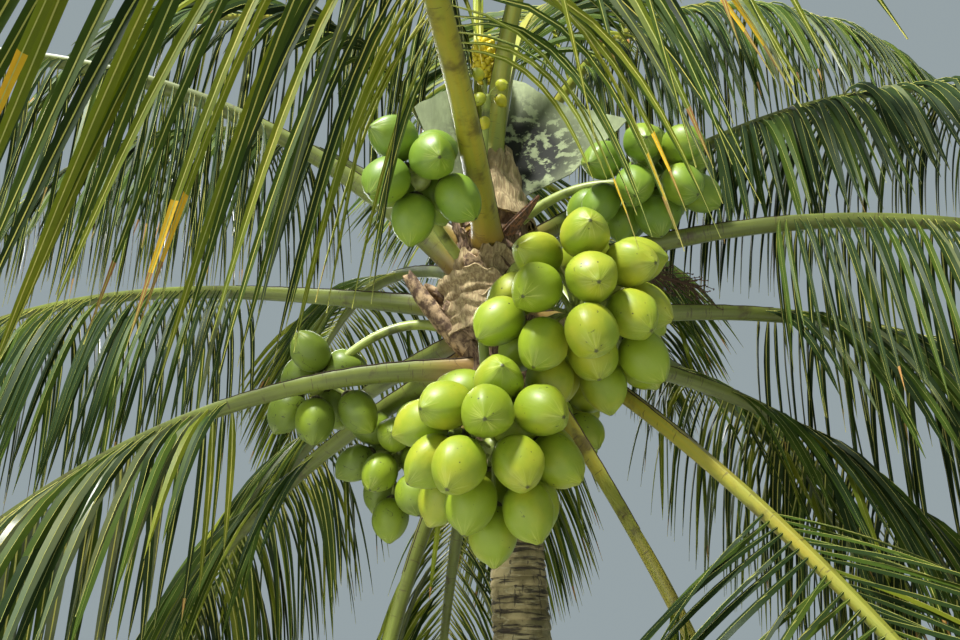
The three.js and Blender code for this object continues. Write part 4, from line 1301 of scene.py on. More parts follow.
def leaflet_paths(frond, index, sign, rods, draw, settings):
    """Lines that the leaflets of one side of a frond follow as they sag, and the direction across each."""
    trim = TRIMS.get(index, Trim())
    count = int(frond.length * (1 - trim.start) / (settings.leaflet_spacing * trim.spacing))
    share = 1 - (1 - (np.arange(count) + 0.5) / count) ** RIB_CROWDING
    place = mix(trim.start, 1, share) + draw.uniform(-PLACE_JITTER, PLACE_JITTER, count)
    along, side, up = directions(frond, place)
    spread = np.interp(share, (0, 0.5, 1), LEAFLET_SPREAD) + trim.lean + sign * trim.slant
    spread += draw.normal(0, SPREAD_JITTER, count)
    spread = np.radians(spread)[:, None]
    limp = [mix(pair[0], pair[1], frond.stiff) for pair in (LEAFLET_RAISE, LEAFLET_SAG, LEAFLET_HANG)]
    raised = limp[0] + trim.raised + sign * frond.roll + draw.normal(0, RAISE_JITTER, count)
    raised = np.radians(raised)[:, None]
    out = side * sign * np.cos(raised) + up * np.sin(raised)
    aim = along * np.cos(spread) + out * np.sin(spread)
    length = leaflet_length(share) * trim.length * draw.uniform(SHORTEST, 1, count)
    length *= np.interp(share, *FIRST_LENGTHS)
    weight = draw.uniform(*WEIGHTS, count) * trim.weight
    kinked = draw.random(count) < KINKED_SHARE
    kink_at = draw.integers(2, LEAFLET_STEPS - 2, count)
    half = rib_size(RIB_WIDTH, place)[:, None] / 2
    root = on_spine(spine_of(frond), place) + side * sign * half * LEAFLET_ROOT[0]
    path = [root + up * half * LEAFLET_ROOT[1]]
    for step in range(LEAFLET_STEPS):
        t = (step + 0.5) / LEAFLET_STEPS
        droop = weight * mix(limp[1], limp[2], t**LEAFLET_LIMBER)
        droop += np.where(kinked & (step >= kink_at), KINK_WEIGHT, 0)
        way = unit(aim - UP * droop[:, None])
        there = path[-1] + way * (length / LEAFLET_STEPS)[:, None]
        if step:
            there += rods.push((there + path[-1]) / 2, index, LEAFLET_ROOM) * LEAFLET_PUSH
        there += rods.push(there, index, LEAFLET_ROOM)
        there[:, 2] = np.maximum(there[:, 2], LEAFLET_GROUND_ROOM)
        path.append(there)
    return np.stack(path, axis=1), along, length


def leaflet_sections(path, along, length, sign, width, draw, settings):
    """Rings of the leaflets, folded like a roof along the midrib, and rings of the midribs themselves."""
    count = len(path)
    way = unit(np.gradient(path, axis=1))
    across = along[:, None] * sign
    across = unit(across - way * dot(across, way))
    face = np.cross(way, across)
    twist = np.radians(settings.twist + draw.normal(0, TWIST_JITTER, count))[:, None, None] * sign
    t = np.linspace(0, 1, LEAFLET_STEPS + 1)
    turned = twist * smoothstep(t, 0, TWIST_REACH)[None, :, None]
    u = across * np.cos(turned) + face * np.sin(turned)
    n = face * np.cos(turned) - across * np.sin(turned)
    scale = (length / LEAFLET_LONGEST) ** LEAFLET_WIDTH_FOLLOWS * draw.uniform(*WIDTHS, count) * width
    half = settings.leaflet_width / 2 * scale[:, None] * np.interp(t, *LEAFLET_OUTLINE)[None]
    fold = settings.fold + FOOT_FOLD * (1 - smoothstep(t, 0, FOOT_FOLD_REACH))
    fold = np.radians(fold)[None] + np.zeros((count, 1))
    wing = u * (half * np.cos(fold))[..., None]
    drop = n * (half * np.sin(fold))[..., None]
    thick = n * settings.leaflet_thickness * (1 - TIP_THINNED * t)[None, :, None]
    blades = np.stack([path + wing - drop, path, path - wing - drop, path - thick], axis=2)
    rib_half = settings.midrib_width / 2 * scale[:, None] * (1 - MIDRIB_TAPER * t)[None]
    rib_wing = u * rib_half[..., None]
    rib_drop = thick + n * (rib_half * np.tan(fold) * MIDRIB_RISE + MIDRIB_PROUD)[..., None]
    crest = path + n * MIDRIB_PROUD
    midribs = np.stack([path + rib_wing - rib_drop, crest, path - rib_wing - rib_drop], axis=2)
    return blades, midribs


def make_leaflets(settings):
    """Every leaflet goes to the piece of its own colour, and some end in a dry or yellow tip."""
    draw = np.random.default_rng(SEED)
    rods = leaflet_rods(settle_bunches())
    skins = {tint: Skin() for tint in LEAF_TINTS}
    ribs = {1: Skin(), -1: Skin()}
    tips = {"dry": Skin(), "yellow": Skin()}
    nodes = {tint: set() for tint in LEAF_TINTS}
    for index, frond in enumerate(FRONDS):
        for sign in (1, -1):
            path, along, length = leaflet_paths(frond, index, sign, rods, draw, settings)
            width = TRIMS.get(index, Trim()).width
            blades, midribs = leaflet_sections(path, along, length, sign, width, draw, settings)
            count = len(blades)
            # Each leaflet's colour is drawn by its frond's painted light: painted shade, plain green, painted
            # sunlight or painted sheen
            tint = draw.choice(len(LEAF_TINTS), count, p=PAINTED_LIGHT_SHARES[frond.light])
            chance = draw.random(count)
            yellow = (chance < YELLOW_SHARE) & (index == FRONT_FROND)
            dry = ~yellow & (chance > DRY_FROM)
            tint[yellow] = LEAF_TINTS.index("lime")
            for k, name in enumerate(LEAF_TINTS):
                for chosen, end in ((~yellow & ~dry, None), (dry, -1), (yellow, -2)):
                    chosen = chosen & (tint == k)
                    if chosen.any():
                        skins[name].tubes(blades[chosen][:, :end])
                        nodes[name].update(frond_nodes(index))
            for name, chosen, part in (
                ("dry", dry | yellow, slice(-2, None)),
                ("yellow", yellow, slice(-3, -1)),
            ):
                if chosen.any():
                    tips[name].tubes(blades[chosen][:, part])
            ribs[sign].tubes(midribs)
    for name in LEAF_TINTS:
        colour = getattr(settings, f"{name}_colour")
        bright = tuple(min(1, c * k + 0.01) for c, k in zip(colour, LIT_THROUGH))
        finish = leaf_finish(f"{name}_leaflet", colour, bright, *LEAF_LOOKS[name])
        blades = skins[name].piece(f"{name}_leaflets", SMOOTH_TO["leaflet"])
        dress(blades, finish, sorted(nodes[name]))
    colour = settings.midrib_colour
    rib_finish = leaf_finish("leaflet_midrib", colour, colour, *LEAF_LOOKS["midrib"])
    for sign, side in ((1, "right"), (-1, "left")):
        dress(ribs[sign].piece(f"{side}_leaflet_midribs", SMOOTH_TO["leaflet"]), rib_finish)
    for name, colour in (("dry", settings.dry_colour), ("yellow", settings.yellow_colour)):
        finish = leaf_finish(f"{name}_tip", colour, colour, *LEAF_LOOKS["tip"])
        dress(tips[name].piece(f"{name}_leaflet_tips", SMOOTH_TO["tip"]), finish)


def make_spear(settings):
    """The youngest leaf, still folded: pleats round a slim core, with a few leaflets that part at its tip."""
    lean = unit(heading(SPEAR_LEAN[0]) * math.sin(math.radians(SPEAR_LEAN[1])) + UP)
    foot = trunk_middle(TRUNK_HEIGHT)
    shares = np.linspace(0, 1, SPEAR_STEPS)
    girth = np.interp(shares, *SPEAR_OUTLINE) * SPEAR_RADIUS
    places = foot + lean * (SPEAR_LENGTH * shares)[:, None]
    pleats = round_sections(places, girth, SPEAR_SIDES)
    middle = places[:, None]
    inward = np.where(np.arange(SPEAR_SIDES) % 2 == 0, 1.0, SPEAR_PLEAT)[None, :, None]
    skin = Skin()
    skin.tubes((middle + (pleats - middle) * inward)[None])
    for k in range(SPEAR_STRIPS):
        start = STRIP_FROM[0] + STRIP_FROM[1] * k
        turn = k * GOLDEN_ANGLE
        line = np.linspace(start, min(start + STRIP_SPAN, 1.0), STRIP_STEPS)
        out = heading(np.degrees(turn)) * np.interp(line, (start, 1), STRIP_PARTED)[:, None]
        strip = foot + lean * (SPEAR_LENGTH * line)[:, None] + out
        radii = STRIP_RADIUS * np.linspace(*STRIP_TAPER, STRIP_STEPS)
        skin.tubes(round_sections(strip, radii, STRIP_SIDES)[None])
    finish = leaf_finish("spear_leaf", settings.pale_stalk, settings.lime_colour, *LEAF_LOOKS["midrib"])
    dress(skin.piece("folded_spear_leaf", SMOOTH_TO["spear"]), finish, ["spear_leaf"])


# Bunches


def nut_room(bunch):
    return (NUT_WIDTH + NUT_LENGTH) / 4 * bunch.size + NUT_APART


def leafy_shares(count):
    return mix(RIB_PETIOLE, 1, 1 - (1 - np.arange(count + 1) / count) ** RIB_CROWDING)


def nut_obstacles():
    """Rods round the trunk and the ribs that the nuts keep off, spaced as the frame's own solids were."""
    rods = []
    for frond in FRONDS:
        spine = spine_of(frond)
        shares = np.concatenate([[0, 0.5 * RIB_PETIOLE], leafy_shares(11)])
        for share in shares:
            ends = on_spine(spine, np.array([share, min(share + 0.04, 1)]))
            radius = math.hypot(rib_size(RIB_WIDTH, share), rib_size(RIB_DEPTH, share)) / 2 + NUT_ROOM
            rods.append((ends[0], ends[1], radius))
    for z in np.arange(0, TRUNK_HEIGHT, CROWN_RADIUS):
        rods.append((trunk_middle(z), trunk_middle(z + CROWN_RADIUS), float(trunk_radius(z)) + NUT_ROOM))
    return rods


def nut_targets(bunch, middle, outward):
    """Places spread evenly over the part of a bunch's shell that its nuts cover."""
    pole = unit(outward * NUT_POLE[0] + UP * NUT_POLE[1])
    east = unit(np.cross(pole, UP))
    north = np.cross(east, pole)
    i = np.arange(bunch.nuts)
    height = 1 - 2 * bunch.open * (i + 0.5) / bunch.nuts
    ring = np.sqrt(1 - height * height)
    turn = i * GOLDEN_ANGLE + bunch.turn
    level = east * (ring * np.cos(turn))[:, None]
    way = pole * height[:, None] + level + north * (ring * np.sin(turn))[:, None]
    return middle + way * np.array([bunch.shell[0], bunch.shell[0], bunch.shell[1]])


def push_out(place, radius, rod):
    """Moves a nut's place in its own array until the nut is clear of a rod."""
    start, end, thickness = rod
    reach = end - start
    square = reach @ reach
    share = min(max((place - start) @ reach / square, 0), 1) if square else 0
    away = place - (start + reach * share)
    distance = math.sqrt(away @ away)
    lack = radius + thickness - distance
    if lack > 0:
        place += away * (lack / distance)


def settle_nuts(bunch, obstacles):
    """Nuts spread over their shell, and then shoulder each other and whatever else is near aside."""
    middle = np.array(bunch.middle, dtype=float)
    outward = unit((middle - trunk_middle(middle[2])) * np.array([1, 1, 0]))
    targets = nut_targets(bunch, middle, outward)
    places = targets.copy()
    radius = nut_room(bunch)
    near = [rod for rod in obstacles if np.linalg.norm((rod[0] + rod[1]) / 2 - middle) < NUT_REACH]
    for step in range(SETTLE_ROUNDS):
        if step < SETTLE_ROUNDS * SETTLE_PULLED:
            places += (targets - places) * SETTLE_PULL
        for i in range(bunch.nuts):
            for j in range(i + 1, bunch.nuts):
                away = places[j] - places[i]
                distance = math.sqrt(away @ away)
                lack = 2 * radius - distance
                if lack > 0:
                    away *= lack / distance / 2
                    places[i] -= away
                    places[j] += away
        for place in places:
            for rod in near:
                push_out(place, radius, rod)
    axes = unit(unit(places - middle) - UP * NUT_HANG)
    return list(zip(places, axes))


SETTLED = []


def settle_bunches():
    """Each bunch with the places and axes of its nuts; a nut that the frame's bunch lacks is left out."""
    if not SETTLED:
        obstacles = nut_obstacles()
        for bunch in BUNCHES:
            corners = places_of(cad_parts[bunch.node])
            nuts = []
            for place, axis in settle_nuts(bunch, obstacles):
                tip = place + axis * NUT_LENGTH * bunch.size / 2
                if np.min(np.linalg.norm(corners - tip, axis=1)) > NUT_MISSED:
                    continue
                nuts.append((place, axis))
                obstacles.append((place, place, nut_room(bunch)))
            SETTLED.append((bunch, nuts))
    return SETTLED


def nut_shape(place, axis, size, draw, settings):
    """Rings of one husk: three soft ridges, a broad top, and a puckered beak at its free end."""
    shares = 1 - (1 - np.linspace(0, 1, NUT_RINGS)) ** NUT_GATHERED
    level = -np.cos(mix(0.02, np.pi - 0.02, shares))[:, None]
    turn = 2 * np.pi * np.arange(NUT_SIDES)[None] / NUT_SIDES
    power = np.where(level < 0, *NUT_FULLNESS)
    girth = np.sqrt(np.maximum(1 - np.abs(level) ** power, 0.0008))
    ridge = (1 - np.abs(np.sin(NUT_RIDGES / 2 * turn + draw.uniform(0, 6)))) ** 1.5
    girth = girth * (1 + settings.ridges * (ridge - 0.5) * smoothstep(level, *NUT_RIDGE_FROM))
    near_beak = np.exp(-(((level - NUT_FOLDS_AT[0]) / NUT_FOLDS_AT[1]) ** 2))
    folds = np.abs(np.cos(turn * NUT_FOLDS / 2 + draw.uniform(0, 3))) * near_beak
    out = (girth - settings.puckers * folds) * NUT_WIDTH * size / 2 * draw.uniform(*NUT_GIRTHS)
    rise = level * NUT_LENGTH * size / 2 + settings.beak * size * np.exp((level - 1) / 0.05)
    first, second = square_to(axis)
    rise = rise + np.zeros_like(turn)
    points = (
        place
        + axis * rise[..., None]
        + first * (out * np.cos(turn))[..., None]
        + second * (out * np.sin(turn))[..., None]
    )
    tone = draw.uniform(0, 40)
    grain = np.stack([np.cos(turn) + tone + 0 * level, np.sin(turn) + 0 * level, level + 0 * turn], axis=-1)
    return points, grain


def cap_sections(neck, axis, size):
    """The small scaly cap that holds a nut to its strand."""
    heights = CAP_HEIGHTS * size
    line = neck + axis * heights[:, None]
    rings = round_sections(line, CAP_RADII * size, CAP_SIDES)
    middle = line[:, None]
    scallop = np.where(np.arange(CAP_SIDES) % 2 == 0, 1.0, CAP_SCALLOP)[None, :, None]
    return middle + (rings - middle) * np.where(heights[:, None, None] > 0, scallop, 1.0)


def stalk_line(bunch, shares):
    middle = np.array(bunch.middle, dtype=float)
    out = heading(bunch.azimuth)
    start = trunk_middle(bunch.foot) + out * (trunk_radius(bunch.foot) - STALK_SUNK)
    span = np.linalg.norm(middle - start)
    knee = start + out * span * bunch.knee + UP * span * STALK_ARCH
    t = shares[:, None]
    return start * (1 - t) ** 2 + knee * 2 * t * (1 - t) + middle * t**2


def make_buds(settings, stalks, draw):
    """A tight head of yellow flower buds above the young nuts."""
    line = spline(BUD_POINTS, np.linspace(0, 1, BUD_STALK_STEPS))
    stalks.tubes(round_sections(line, np.linspace(*BUD_STALK_RADIUS, BUD_STALK_STEPS), BUD_STALK_SIDES)[None])
    buds = Skin()
    for i in range(BUDS):
        place = line[-1] + UP * BUD_HEAD_HEIGHT * (i / BUDS - 0.6)
        around = heading(math.degrees(i * GOLDEN_ANGLE)) * BUD_HEAD_RADIUS * math.sin(0.5 + 2.2 * i / BUDS)
        axis = unit(around + UP * 0.03)
        points, grain = nut_shape(place + around, axis, BUD_SIZE, draw, settings)
        buds.tubes(points[None, ::BUD_THINNED, ::BUD_THINNED], grain[None, ::BUD_THINNED, ::BUD_THINNED])
    yellow = settings.bud_colour
    finish = nut_finish("flower_bud", yellow, yellow, settings.ray_colour, yellow, HUSK_SCARS["bud"])
    dress(buds.piece("flower_buds", SMOOTH_TO["nut"]), finish)


def make_bunches(settings):
    """The nuts of each bunch, and all stalks, strands, caps and flower buds."""
    draw = np.random.default_rng(SEED)
    looks = {
        "lime": (settings.lime_husk, settings.sunny_husk),
        "green": (settings.green_husk, settings.lime_husk),
        # The olive nuts' darker colour is painted shade; their cracks and extra scars are their own
        "olive": (settings.olive_husk, settings.lime_husk),
        "young": (settings.young_husk, settings.bud_colour),
    }
    finishes = {
        kind: nut_finish(
            f"{kind}_husk", colour, sunny, settings.ray_colour, settings.speck_colour, HUSK_SCARS[kind],
            cracks=kind == "olive")
        for kind, (colour, sunny) in looks.items()
    }
    stalks = Skin()
    caps = Skin()
    for bunch, nuts in settle_bunches():
        middle = np.array(bunch.middle, dtype=float)
        husks = Skin()
        line = stalk_line(bunch, np.linspace(0, 1, STALK_STEPS))
        stalks.tubes(round_sections(line, np.linspace(*STALK_RADIUS, STALK_STEPS), STALK_SIDES)[None])
        knot = middle + UP * np.linspace(-1, 1, KNOT_STEPS)[:, None] * STALK_KNOT * bunch.size / 2
        girth = np.sin(np.linspace(*KNOT_TURN, KNOT_STEPS)) * STALK_KNOT_RADIUS * bunch.size
        stalks.tubes(round_sections(knot, girth, KNOT_SIDES)[None])
        for place, axis in nuts:
            points, grain = nut_shape(place, axis, bunch.size, draw, settings)
            husks.tubes(points[None], grain[None])
            neck = place - axis * NUT_LENGTH * bunch.size / 2
            root = middle + unit(neck - middle) * STALK_KNOT * STALK_SINK * bunch.size
            bend = (root + neck) / 2 - axis * STRAND_SAG * bunch.size
            strand = spline([root, bend, neck + axis * STRAND_IN_NUT], np.linspace(0, 1, STRAND_STEPS))
            radii = np.linspace(*STRAND_RADIUS, STRAND_STEPS) * bunch.size
            stalks.tubes(round_sections(strand, radii, STRAND_SIDES)[None])
            caps.tubes(cap_sections(neck, axis, bunch.size)[None])
        name = bunch.node.replace("bunch_", "") + "_nuts"
        dress(husks.piece(name, SMOOTH_TO["nut"]), finishes[bunch.husk], [bunch.node])
    make_buds(settings, stalks, draw)
    green = settings.strand_colour
    strands = stalk_finish(
        "nut_strand", green, settings.cap_colour, green, settings.speck_colour, *STALK_MARKS["strand"])
    dress(stalks.piece("bunch_stalks", SMOOTH_TO["stalk"]), strands)
    scales = fibre_finish("nut_cap", settings.cap_colour, settings.speck_colour)
    dress(caps.piece("nut_caps", SMOOTH_TO["cap"]), scales)


# The heart: sheaths, veils, dry stubs, spathe, flower stalk and loose fibres


def wrap_shape(wrap, seed):
    """Places on a sheath that hugs the trunk at its foot and frills outward at its torn top."""

    def shape(across, up):
        turn = wrap.azimuth + (across - 0.5) * wrap.span
        edge = rough(np.stack([across * WRAP_TEETH, across * 0, across * 0 + seed], axis=1), 1.0)
        tear = 1 - WRAP_TEAR * np.maximum(edge, -0.2) * up - WRAP_CORNERS * (2 * np.abs(across - 0.5)) ** 4
        z = wrap.foot + wrap.height * up * tear
        frills = np.stack([across * WRAP_FRILLS[0], up * WRAP_FRILLS[1], across * 0 - seed], axis=1)
        frill = rough(frills, 1.0)
        crease = WRAP_CREASE * np.sin(up * WRAP_CREASES + WRAP_CREASE_BENT * frill)
        grain = np.stack([across * WRAP_GRAIN[0], up * WRAP_GRAIN[1], across * 0 + seed], axis=1)
        fine = WRAP_FINE * rough(grain, 1.0)
        out = trunk_radius(z) + wrap.room + wrap.flare * up**2 + WRAP_FRILL * frill * up + crease + fine
        return trunk_middle(z) + heading(turn) * out[:, None]

    return shape


def make_sheaths(settings):
    """The brown sheaths round the heart, and the paler papery ones in front of it."""
    looks = {
        "crown_sheaths": (WRAPS, settings.fibre_colour, settings.fibre_dark),
        "papery_sheaths": (PAPER_WRAPS, settings.paper_colour, settings.paper_shade),
    }
    for name, (wraps, colour, dark) in looks.items():
        pieces = [
            sheet_piece(f"{name}_{k}", *WRAP_GRID, wrap_shape(wrap, WRAP_SEED * k), settings.sheath_thickness)
            for k, wrap in enumerate(wraps)
        ]
        finish = fibre_finish(name.rstrip("s"), colour, dark)
        dress(joined(pieces, name), finish)


def make_old_bases(settings):
    """Dry frond feet, boat-shaped in section, with a torn end."""
    skin = Skin()
    for k, stub in enumerate(STUBS):
        shares = np.linspace(0, 1, STUB_STEPS)
        slope = np.radians(stub.rise + STUB_CURL * shares)[:, None]
        out = heading(stub.azimuth)
        along = UP * np.sin(slope) + out * np.cos(slope)
        start = trunk_middle(stub.foot) + out * (trunk_radius(stub.foot) - RIB_SUNK)
        line = start + np.cumsum(along * stub.length / STUB_STEPS, axis=0)
        side = np.cross(out, UP)
        up = np.cross(side, along)
        half = stub.width / 2 * (STUB_WIDENED[0] - STUB_WIDENED[1] * shares)
        depth = stub.width * STUB_DEPTH * (STUB_DEEPENED[0] - STUB_DEEPENED[1] * shares)
        wear = 1 + STUB_WEAR * rough(line, 40, k)
        across = RIB_SECTION[None, :, 0] * (half * wear)[:, None]
        rise = RIB_SECTION[None, :, 1] * (depth * wear)[:, None]
        rings = line[:, None] - side * across[..., None] + up[:, None] * rise[..., None]
        rings[-1] += along[-1] * (STUB_TORN * np.sin(np.arange(len(RIB_SECTION)) * 2.1 + k))[:, None]
        skin.tubes(rings[None])
    finish = fibre_finish("old_frond_foot", settings.flap_colour, settings.fibre_dark, (30, 30, 30), 0.8)
    dress(skin.piece("old_frond_feet", SMOOTH_TO["foot"]), finish)


def veil_shape(corners, bow, seed):
    """Places on a sheet between four corners that bows and crumples, with a torn upper edge."""
    foot_left, foot_right, top_left, top_right = (np.array(corner) for corner in corners)
    normal = unit(np.cross(top_left - foot_left, foot_right - foot_left))

    def shape(across, up):
        line = np.stack([across * 5, across * 0, across * 0 + seed], axis=1)
        tear = 1 - VEIL_TEARS[0] * (1 + rough(line, 1.0)) - VEIL_TEARS[1] * (1 + rough(line, 6.0))
        rise = up * tear
        foot = mix(foot_left, foot_right, across[:, None])
        top = mix(top_left, top_right, across[:, None])
        crumple = rough(np.stack([across * 3, rise * 3, across * 0 + seed], axis=1), 1.0)
        swell = bow * np.sin(np.pi * across) * np.sin(np.pi * rise * 0.7) + VEIL_CRUMPLE * crumple * rise
        return mix(foot, top, rise[:, None]) + normal * swell[:, None]

    return shape


def make_veils(settings):
    finish = veil_finish(settings)
    for k, (node, (corners, bow)) in enumerate(VEILS.items()):
        name = node.replace("sheath_cloth", "fibre_veil")
        piece = sheet_piece(name, *VEIL_GRID, veil_shape(corners, bow, VEIL_SEED + k), VEIL_THICKNESS)
        dress(piece, finish, [node])


def make_spathe(settings):
    """A dry spathe: a woody boat that is open on top and split at its tip."""
    shares = np.linspace(0, 1, 25)

    def shape(across, up):
        middle = spline(SPATHE_POINTS, up)
        along = unit(spline(SPATHE_POINTS, up + 0.02) - spline(SPATHE_POINTS, up - 0.02))
        side = unit(np.cross(along, UP))
        rise = np.cross(side, along)
        girth = SPATHE_RADIUS * np.interp(up, shares, np.sin(np.pi * (0.12 + 0.85 * shares)) ** 0.7)
        turn = np.pi * (SPATHE_TURN[0] + SPATHE_TURN[1] * across)
        radius = girth * (1 + SPATHE_RIPPLE * np.sin(across * 40))
        return middle + side * (radius * np.cos(turn))[:, None] + rise * (radius * np.sin(turn))[:, None]

    piece = sheet_piece("dry_spathe_shell", *SPATHE_GRID, shape, SPATHE_THICKNESS)
    finish = fibre_finish("dry_spathe_husk", settings.husk_colour, settings.fibre_dark, (60, 60, 60), 0.7)
    dress(piece, finish, ["dry_spathe"])


def make_flower_stalk(settings):
    """The dry flower stalk: a limb with many crooked twigs that carry little scales."""
    draw = np.random.default_rng(SEED)
    skin = Skin()
    line = spline(FLOWER_POINTS, np.linspace(0, 1, FLOWER_STEPS))
    skin.tubes(round_sections(line, np.linspace(*FLOWER_RADIUS, FLOWER_STEPS), FLOWER_SIDES)[None])
    for i in range(FLOWER_TWIGS):
        share = mix(*FLOWER_FROM, i / (FLOWER_TWIGS - 1))
        root, ahead = spline(FLOWER_POINTS, np.array([share, share + 0.01]))
        along = unit(ahead - root) if share < FLOWER_FROM[1] else unit(root - line[-3])
        side = unit(np.cross(along, UP))
        turn = i * GOLDEN_ANGLE
        out = side * math.cos(turn) + UP * (math.sin(turn) - FLOWER_DROOP)
        way = unit(along + out * FLOWER_SPREAD)
        length = mix(*FLOWER_TWIG_LENGTH, share) * draw.uniform(0.6, 1)
        steps = np.linspace(0, 1, TWIG_STEPS)
        crook = np.cumsum(draw.normal(0, FLOWER_CROOK, (TWIG_STEPS, 3)), axis=0) * steps[:, None]
        twig = root + way * (length * steps)[:, None] + crook
        skin.tubes(round_sections(twig, np.linspace(*TWIG_RADIUS, TWIG_STEPS), TWIG_SIDES)[None])
        for place in twig[2:]:
            tilt = unit(draw.normal(0, 1, 3))
            scale = place + np.outer(np.linspace(-1, 1, len(TWIG_SCALE_RADII)), tilt) * TWIG_SCALE_LENGTH
            skin.tubes(round_sections(scale, TWIG_SCALE_RADII, TWIG_SIDES)[None])
    finish = fibre_finish("dry_twig", settings.twig_colour, settings.fibre_dark, (50, 50, 50))
    dress(skin.piece("dry_flower_twigs", SMOOTH_TO["twig"]), finish, ["dry_flower_stalk"])


def make_fibres(settings):
    """Loose curled fibres that hang from the sheaths."""
    draw = np.random.default_rng(SEED)
    skin = Skin()
    for _ in range(settings.fibres):
        z = draw.uniform(*FIBRE_HEIGHTS)
        azimuth = draw.uniform(0, 360)
        start = trunk_middle(z) + heading(azimuth) * (trunk_radius(z) + FIBRE_ROOM)
        way = unit(heading(azimuth + draw.normal(0, FIBRE_TURNED)) + UP * draw.normal(-0.1, 0.7))
        curl = unit(draw.normal(0, 1, 3))
        length = draw.uniform(*FIBRE_LENGTHS)
        places = [start]
        for _ in range(FIBRE_STEPS):
            way = unit(way + np.cross(curl, way) * draw.uniform(*FIBRE_CURLS) - UP * FIBRE_DROOP)
            places.append(places[-1] + way * length / FIBRE_STEPS)
        radii = np.linspace(*FIBRE_RADIUS, FIBRE_STEPS + 1)
        skin.tubes(round_sections(np.array(places), radii, FIBRE_SIDES)[None])
    finish = fibre_finish("loose_fibre", settings.fibre_colour, settings.fibre_dark, (40, 40, 40))
    dress(skin.piece("loose_fibres", SMOOTH_TO["fibre"]), finish)


# Stage


def aimed_light(name, place, size, power):
    """A square light that points at the crown."""
    light = bpy.data.lights.new(name, "AREA")
    light.energy = power
    light.size = size
    lamp = bpy.data.objects.new(name, light)
    lamp.location = place
    lamp.rotation_euler = (Vector(LIGHT_TARGET) - Vector(place)).to_track_quat("-Z", "Y").to_euler()
    bpy.context.scene.collection.objects.link(lamp)


def make_stage(settings):
    """The camera of the photograph, three soft lights, an even sky and a pale floor."""
    scene = bpy.context.scene
    camera_data = bpy.data.cameras.new("camera")
    camera_data.lens = settings.lens
    camera_data.sensor_width = SENSOR_WIDTH
    camera_data.clip_start = NEAREST_SEEN
    camera = bpy.data.objects.new("camera", camera_data)
    camera.location = settings.camera_place
    camera.rotation_euler = (math.radians(90 + settings.camera_pitch), 0, 0)
    scene.collection.objects.link(camera)
    scene.camera = camera

    aimed_light("key", *KEY_LIGHT, settings.key_power)
    aimed_light("fill", *FILL_LIGHT, settings.fill_power)
    aimed_light("back", *BACK_LIGHT, settings.back_power)

    world = bpy.data.worlds.new("even_light")
    world.use_nodes = True
    sky = world.node_tree.nodes["Background"]
    sky.inputs["Color"].default_value = (*settings.sky_colour, 1)
    sky.inputs["Strength"].default_value = settings.sky_strength
    scene.world = world
    scene.view_settings.view_transform = "Standard"

    bpy.ops.object.select_all(action="DESELECT")
    bpy.ops.mesh.primitive_plane_add(size=FLOOR_SIZE)
    floor = bpy.context.object
    floor.name = "pale_floor"
    finish = Finish("pale_floor", 0.85)
    shade = tuple(0.94 * c for c in settings.floor_colour)
    finish.colour(finish.blend(finish.mottle(0.6, 0.3, 0.7), settings.floor_colour, shade))
    floor.data.materials.append(finish.material)


# Add-on


class PALM_OT_trunk(bpy.types.Operator):
    """Makes the ringed trunk with its root flare"""

    bl_idname = "palm.trunk"
    bl_label = "Trunk"

    def execute(self, context):
        make_trunk(context.scene.palm_trunk)
        return {"FINISHED"}


class PALM_OT_frond_stalks(bpy.types.Operator):
    """Makes the stalk and rib of every frond"""

    bl_idname = "palm.frond_stalks"
    bl_label = "Frond stalks"

    def execute(self, context):
        make_frond_stalks(context.scene.palm_fronds)
        return {"FINISHED"}


class PALM_OT_bunches(bpy.types.Operator):
    """Makes the bunches of nuts with their stalks"""

    bl_idname = "palm.bunches"
    bl_label = "Bunches"

    def execute(self, context):
        make_bunches(context.scene.palm_fruit)
        return {"FINISHED"}


class PALM_OT_leaflets(bpy.types.Operator):
    """Makes every leaflet with its midrib"""

    bl_idname = "palm.leaflets"
    bl_label = "Leaflets"

    def execute(self, context):
        make_leaflets(context.scene.palm_fronds)
        return {"FINISHED"}


class PALM_OT_spear(bpy.types.Operator):
    """Makes the folded spear leaf at the top"""

    bl_idname = "palm.spear"
    bl_label = "Spear leaf"

    def execute(self, context):
        make_spear(context.scene.palm_fronds)
        return {"FINISHED"}


class PALM_OT_sheaths(bpy.types.Operator):
    """Makes the brown sheaths round the heart"""

    bl_idname = "palm.sheaths"
    bl_label = "Sheaths"

    def execute(self, context):
        make_sheaths(context.scene.palm_heart)
        return {"FINISHED"}


class PALM_OT_old_bases(bpy.types.Operator):
    """Makes the dry feet of dropped fronds"""

    bl_idname = "palm.old_bases"
    bl_label = "Old frond feet"

    def execute(self, context):
        make_old_bases(context.scene.palm_heart)
        return {"FINISHED"}


class PALM_OT_veils(bpy.types.Operator):
    """Makes the pale torn sheets of fibre"""

    bl_idname = "palm.veils"
    bl_label = "Veils"

    def execute(self, context):
        make_veils(context.scene.palm_heart)
        return {"FINISHED"}


class PALM_OT_spathe(bpy.types.Operator):
    """Makes the dry spathe in front of the heart"""

    bl_idname = "palm.spathe"
    bl_label = "Dry spathe"

    def execute(self, context):
        make_spathe(context.scene.palm_heart)
        return {"FINISHED"}


class PALM_OT_flower_stalk(bpy.types.Operator):
    """Makes the dry flower stalk with its twigs"""

    bl_idname = "palm.flower_stalk"
    bl_label = "Dry flower stalk"

    def execute(self, context):
        make_flower_stalk(context.scene.palm_heart)
        return {"FINISHED"}


class PALM_OT_fibres(bpy.types.Operator):
    """Makes the loose fibres round the heart"""

    bl_idname = "palm.fibres"
    bl_label = "Loose fibres"

    def execute(self, context):
        make_fibres(context.scene.palm_heart)
        return {"FINISHED"}


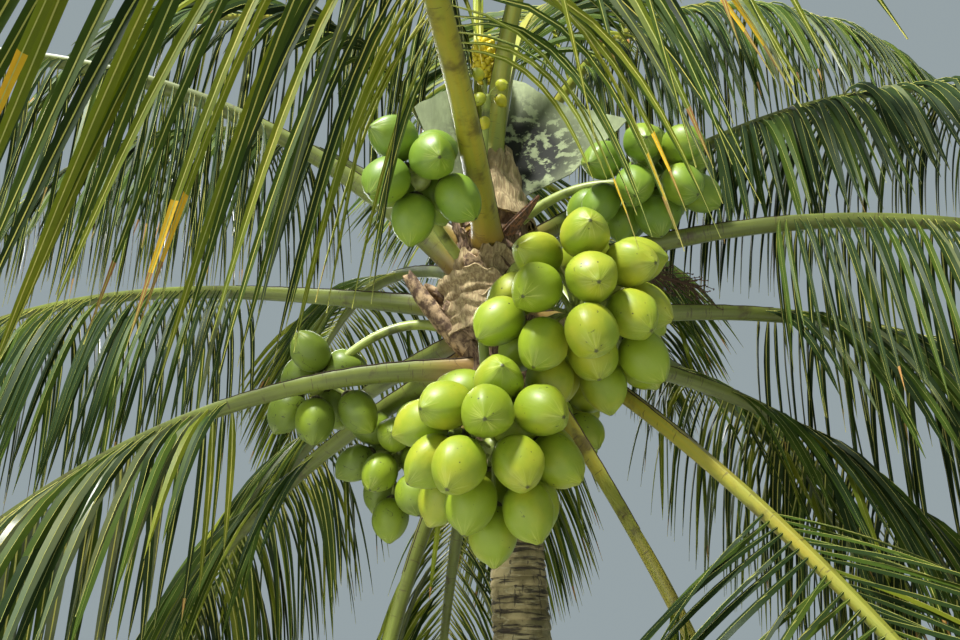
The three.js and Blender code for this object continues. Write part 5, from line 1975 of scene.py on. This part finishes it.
class PALM_OT_stage(bpy.types.Operator):
    """Makes the floor, the lights and the camera"""

    bl_idname = "palm.stage"
    bl_label = "Stage"

    def execute(self, context):
        make_stage(context.scene.palm_stage)
        return {"FINISHED"}


OPERATORS = (
    PALM_OT_trunk,
    PALM_OT_frond_stalks,
    PALM_OT_bunches,
    PALM_OT_leaflets,
    PALM_OT_spear,
    PALM_OT_sheaths,
    PALM_OT_old_bases,
    PALM_OT_veils,
    PALM_OT_spathe,
    PALM_OT_flower_stalk,
    PALM_OT_fibres,
    PALM_OT_stage,
)
SETTINGS = {
    "palm_trunk": PalmTrunkSettings,
    "palm_fronds": PalmFrondSettings,
    "palm_fruit": PalmFruitSettings,
    "palm_heart": PalmHeartSettings,
    "palm_stage": PalmStageSettings,
}


class PALM_PT_sidebar(bpy.types.Panel):
    """Lists the pieces of the palm with their settings"""

    bl_idname = "PALM_PT_sidebar"
    bl_label = "Coconut Palm"
    bl_space_type = "VIEW_3D"
    bl_region_type = "UI"
    bl_category = "Palm"

    def draw(self, context):
        for operator in OPERATORS:
            self.layout.operator(operator.bl_idname)
        for name, group in SETTINGS.items():
            box = self.layout.box()
            box.label(text=group.__doc__)
            for setting in group.__annotations__:
                box.prop(getattr(context.scene, name), setting)


def register():
    for name, group in SETTINGS.items():
        bpy.utils.register_class(group)
        setattr(bpy.types.Scene, name, PointerProperty(type=group))
    for operator in OPERATORS:
        bpy.utils.register_class(operator)
    bpy.utils.register_class(PALM_PT_sidebar)


def unregister():
    bpy.utils.unregister_class(PALM_PT_sidebar)
    for operator in reversed(OPERATORS):
        bpy.utils.unregister_class(operator)
    for name, group in SETTINGS.items():
        delattr(bpy.types.Scene, name)
        bpy.utils.unregister_class(group)


def main():
    register()
    bpy.ops.palm.trunk()
    bpy.ops.palm.frond_stalks()
    bpy.ops.palm.bunches()
    bpy.ops.palm.leaflets()
    bpy.ops.palm.spear()
    bpy.ops.palm.sheaths()
    bpy.ops.palm.old_bases()
    bpy.ops.palm.veils()
    bpy.ops.palm.spathe()
    bpy.ops.palm.flower_stalk()
    bpy.ops.palm.fibres()
    bpy.ops.palm.stage()


if __name__ == "__main__":
    main()
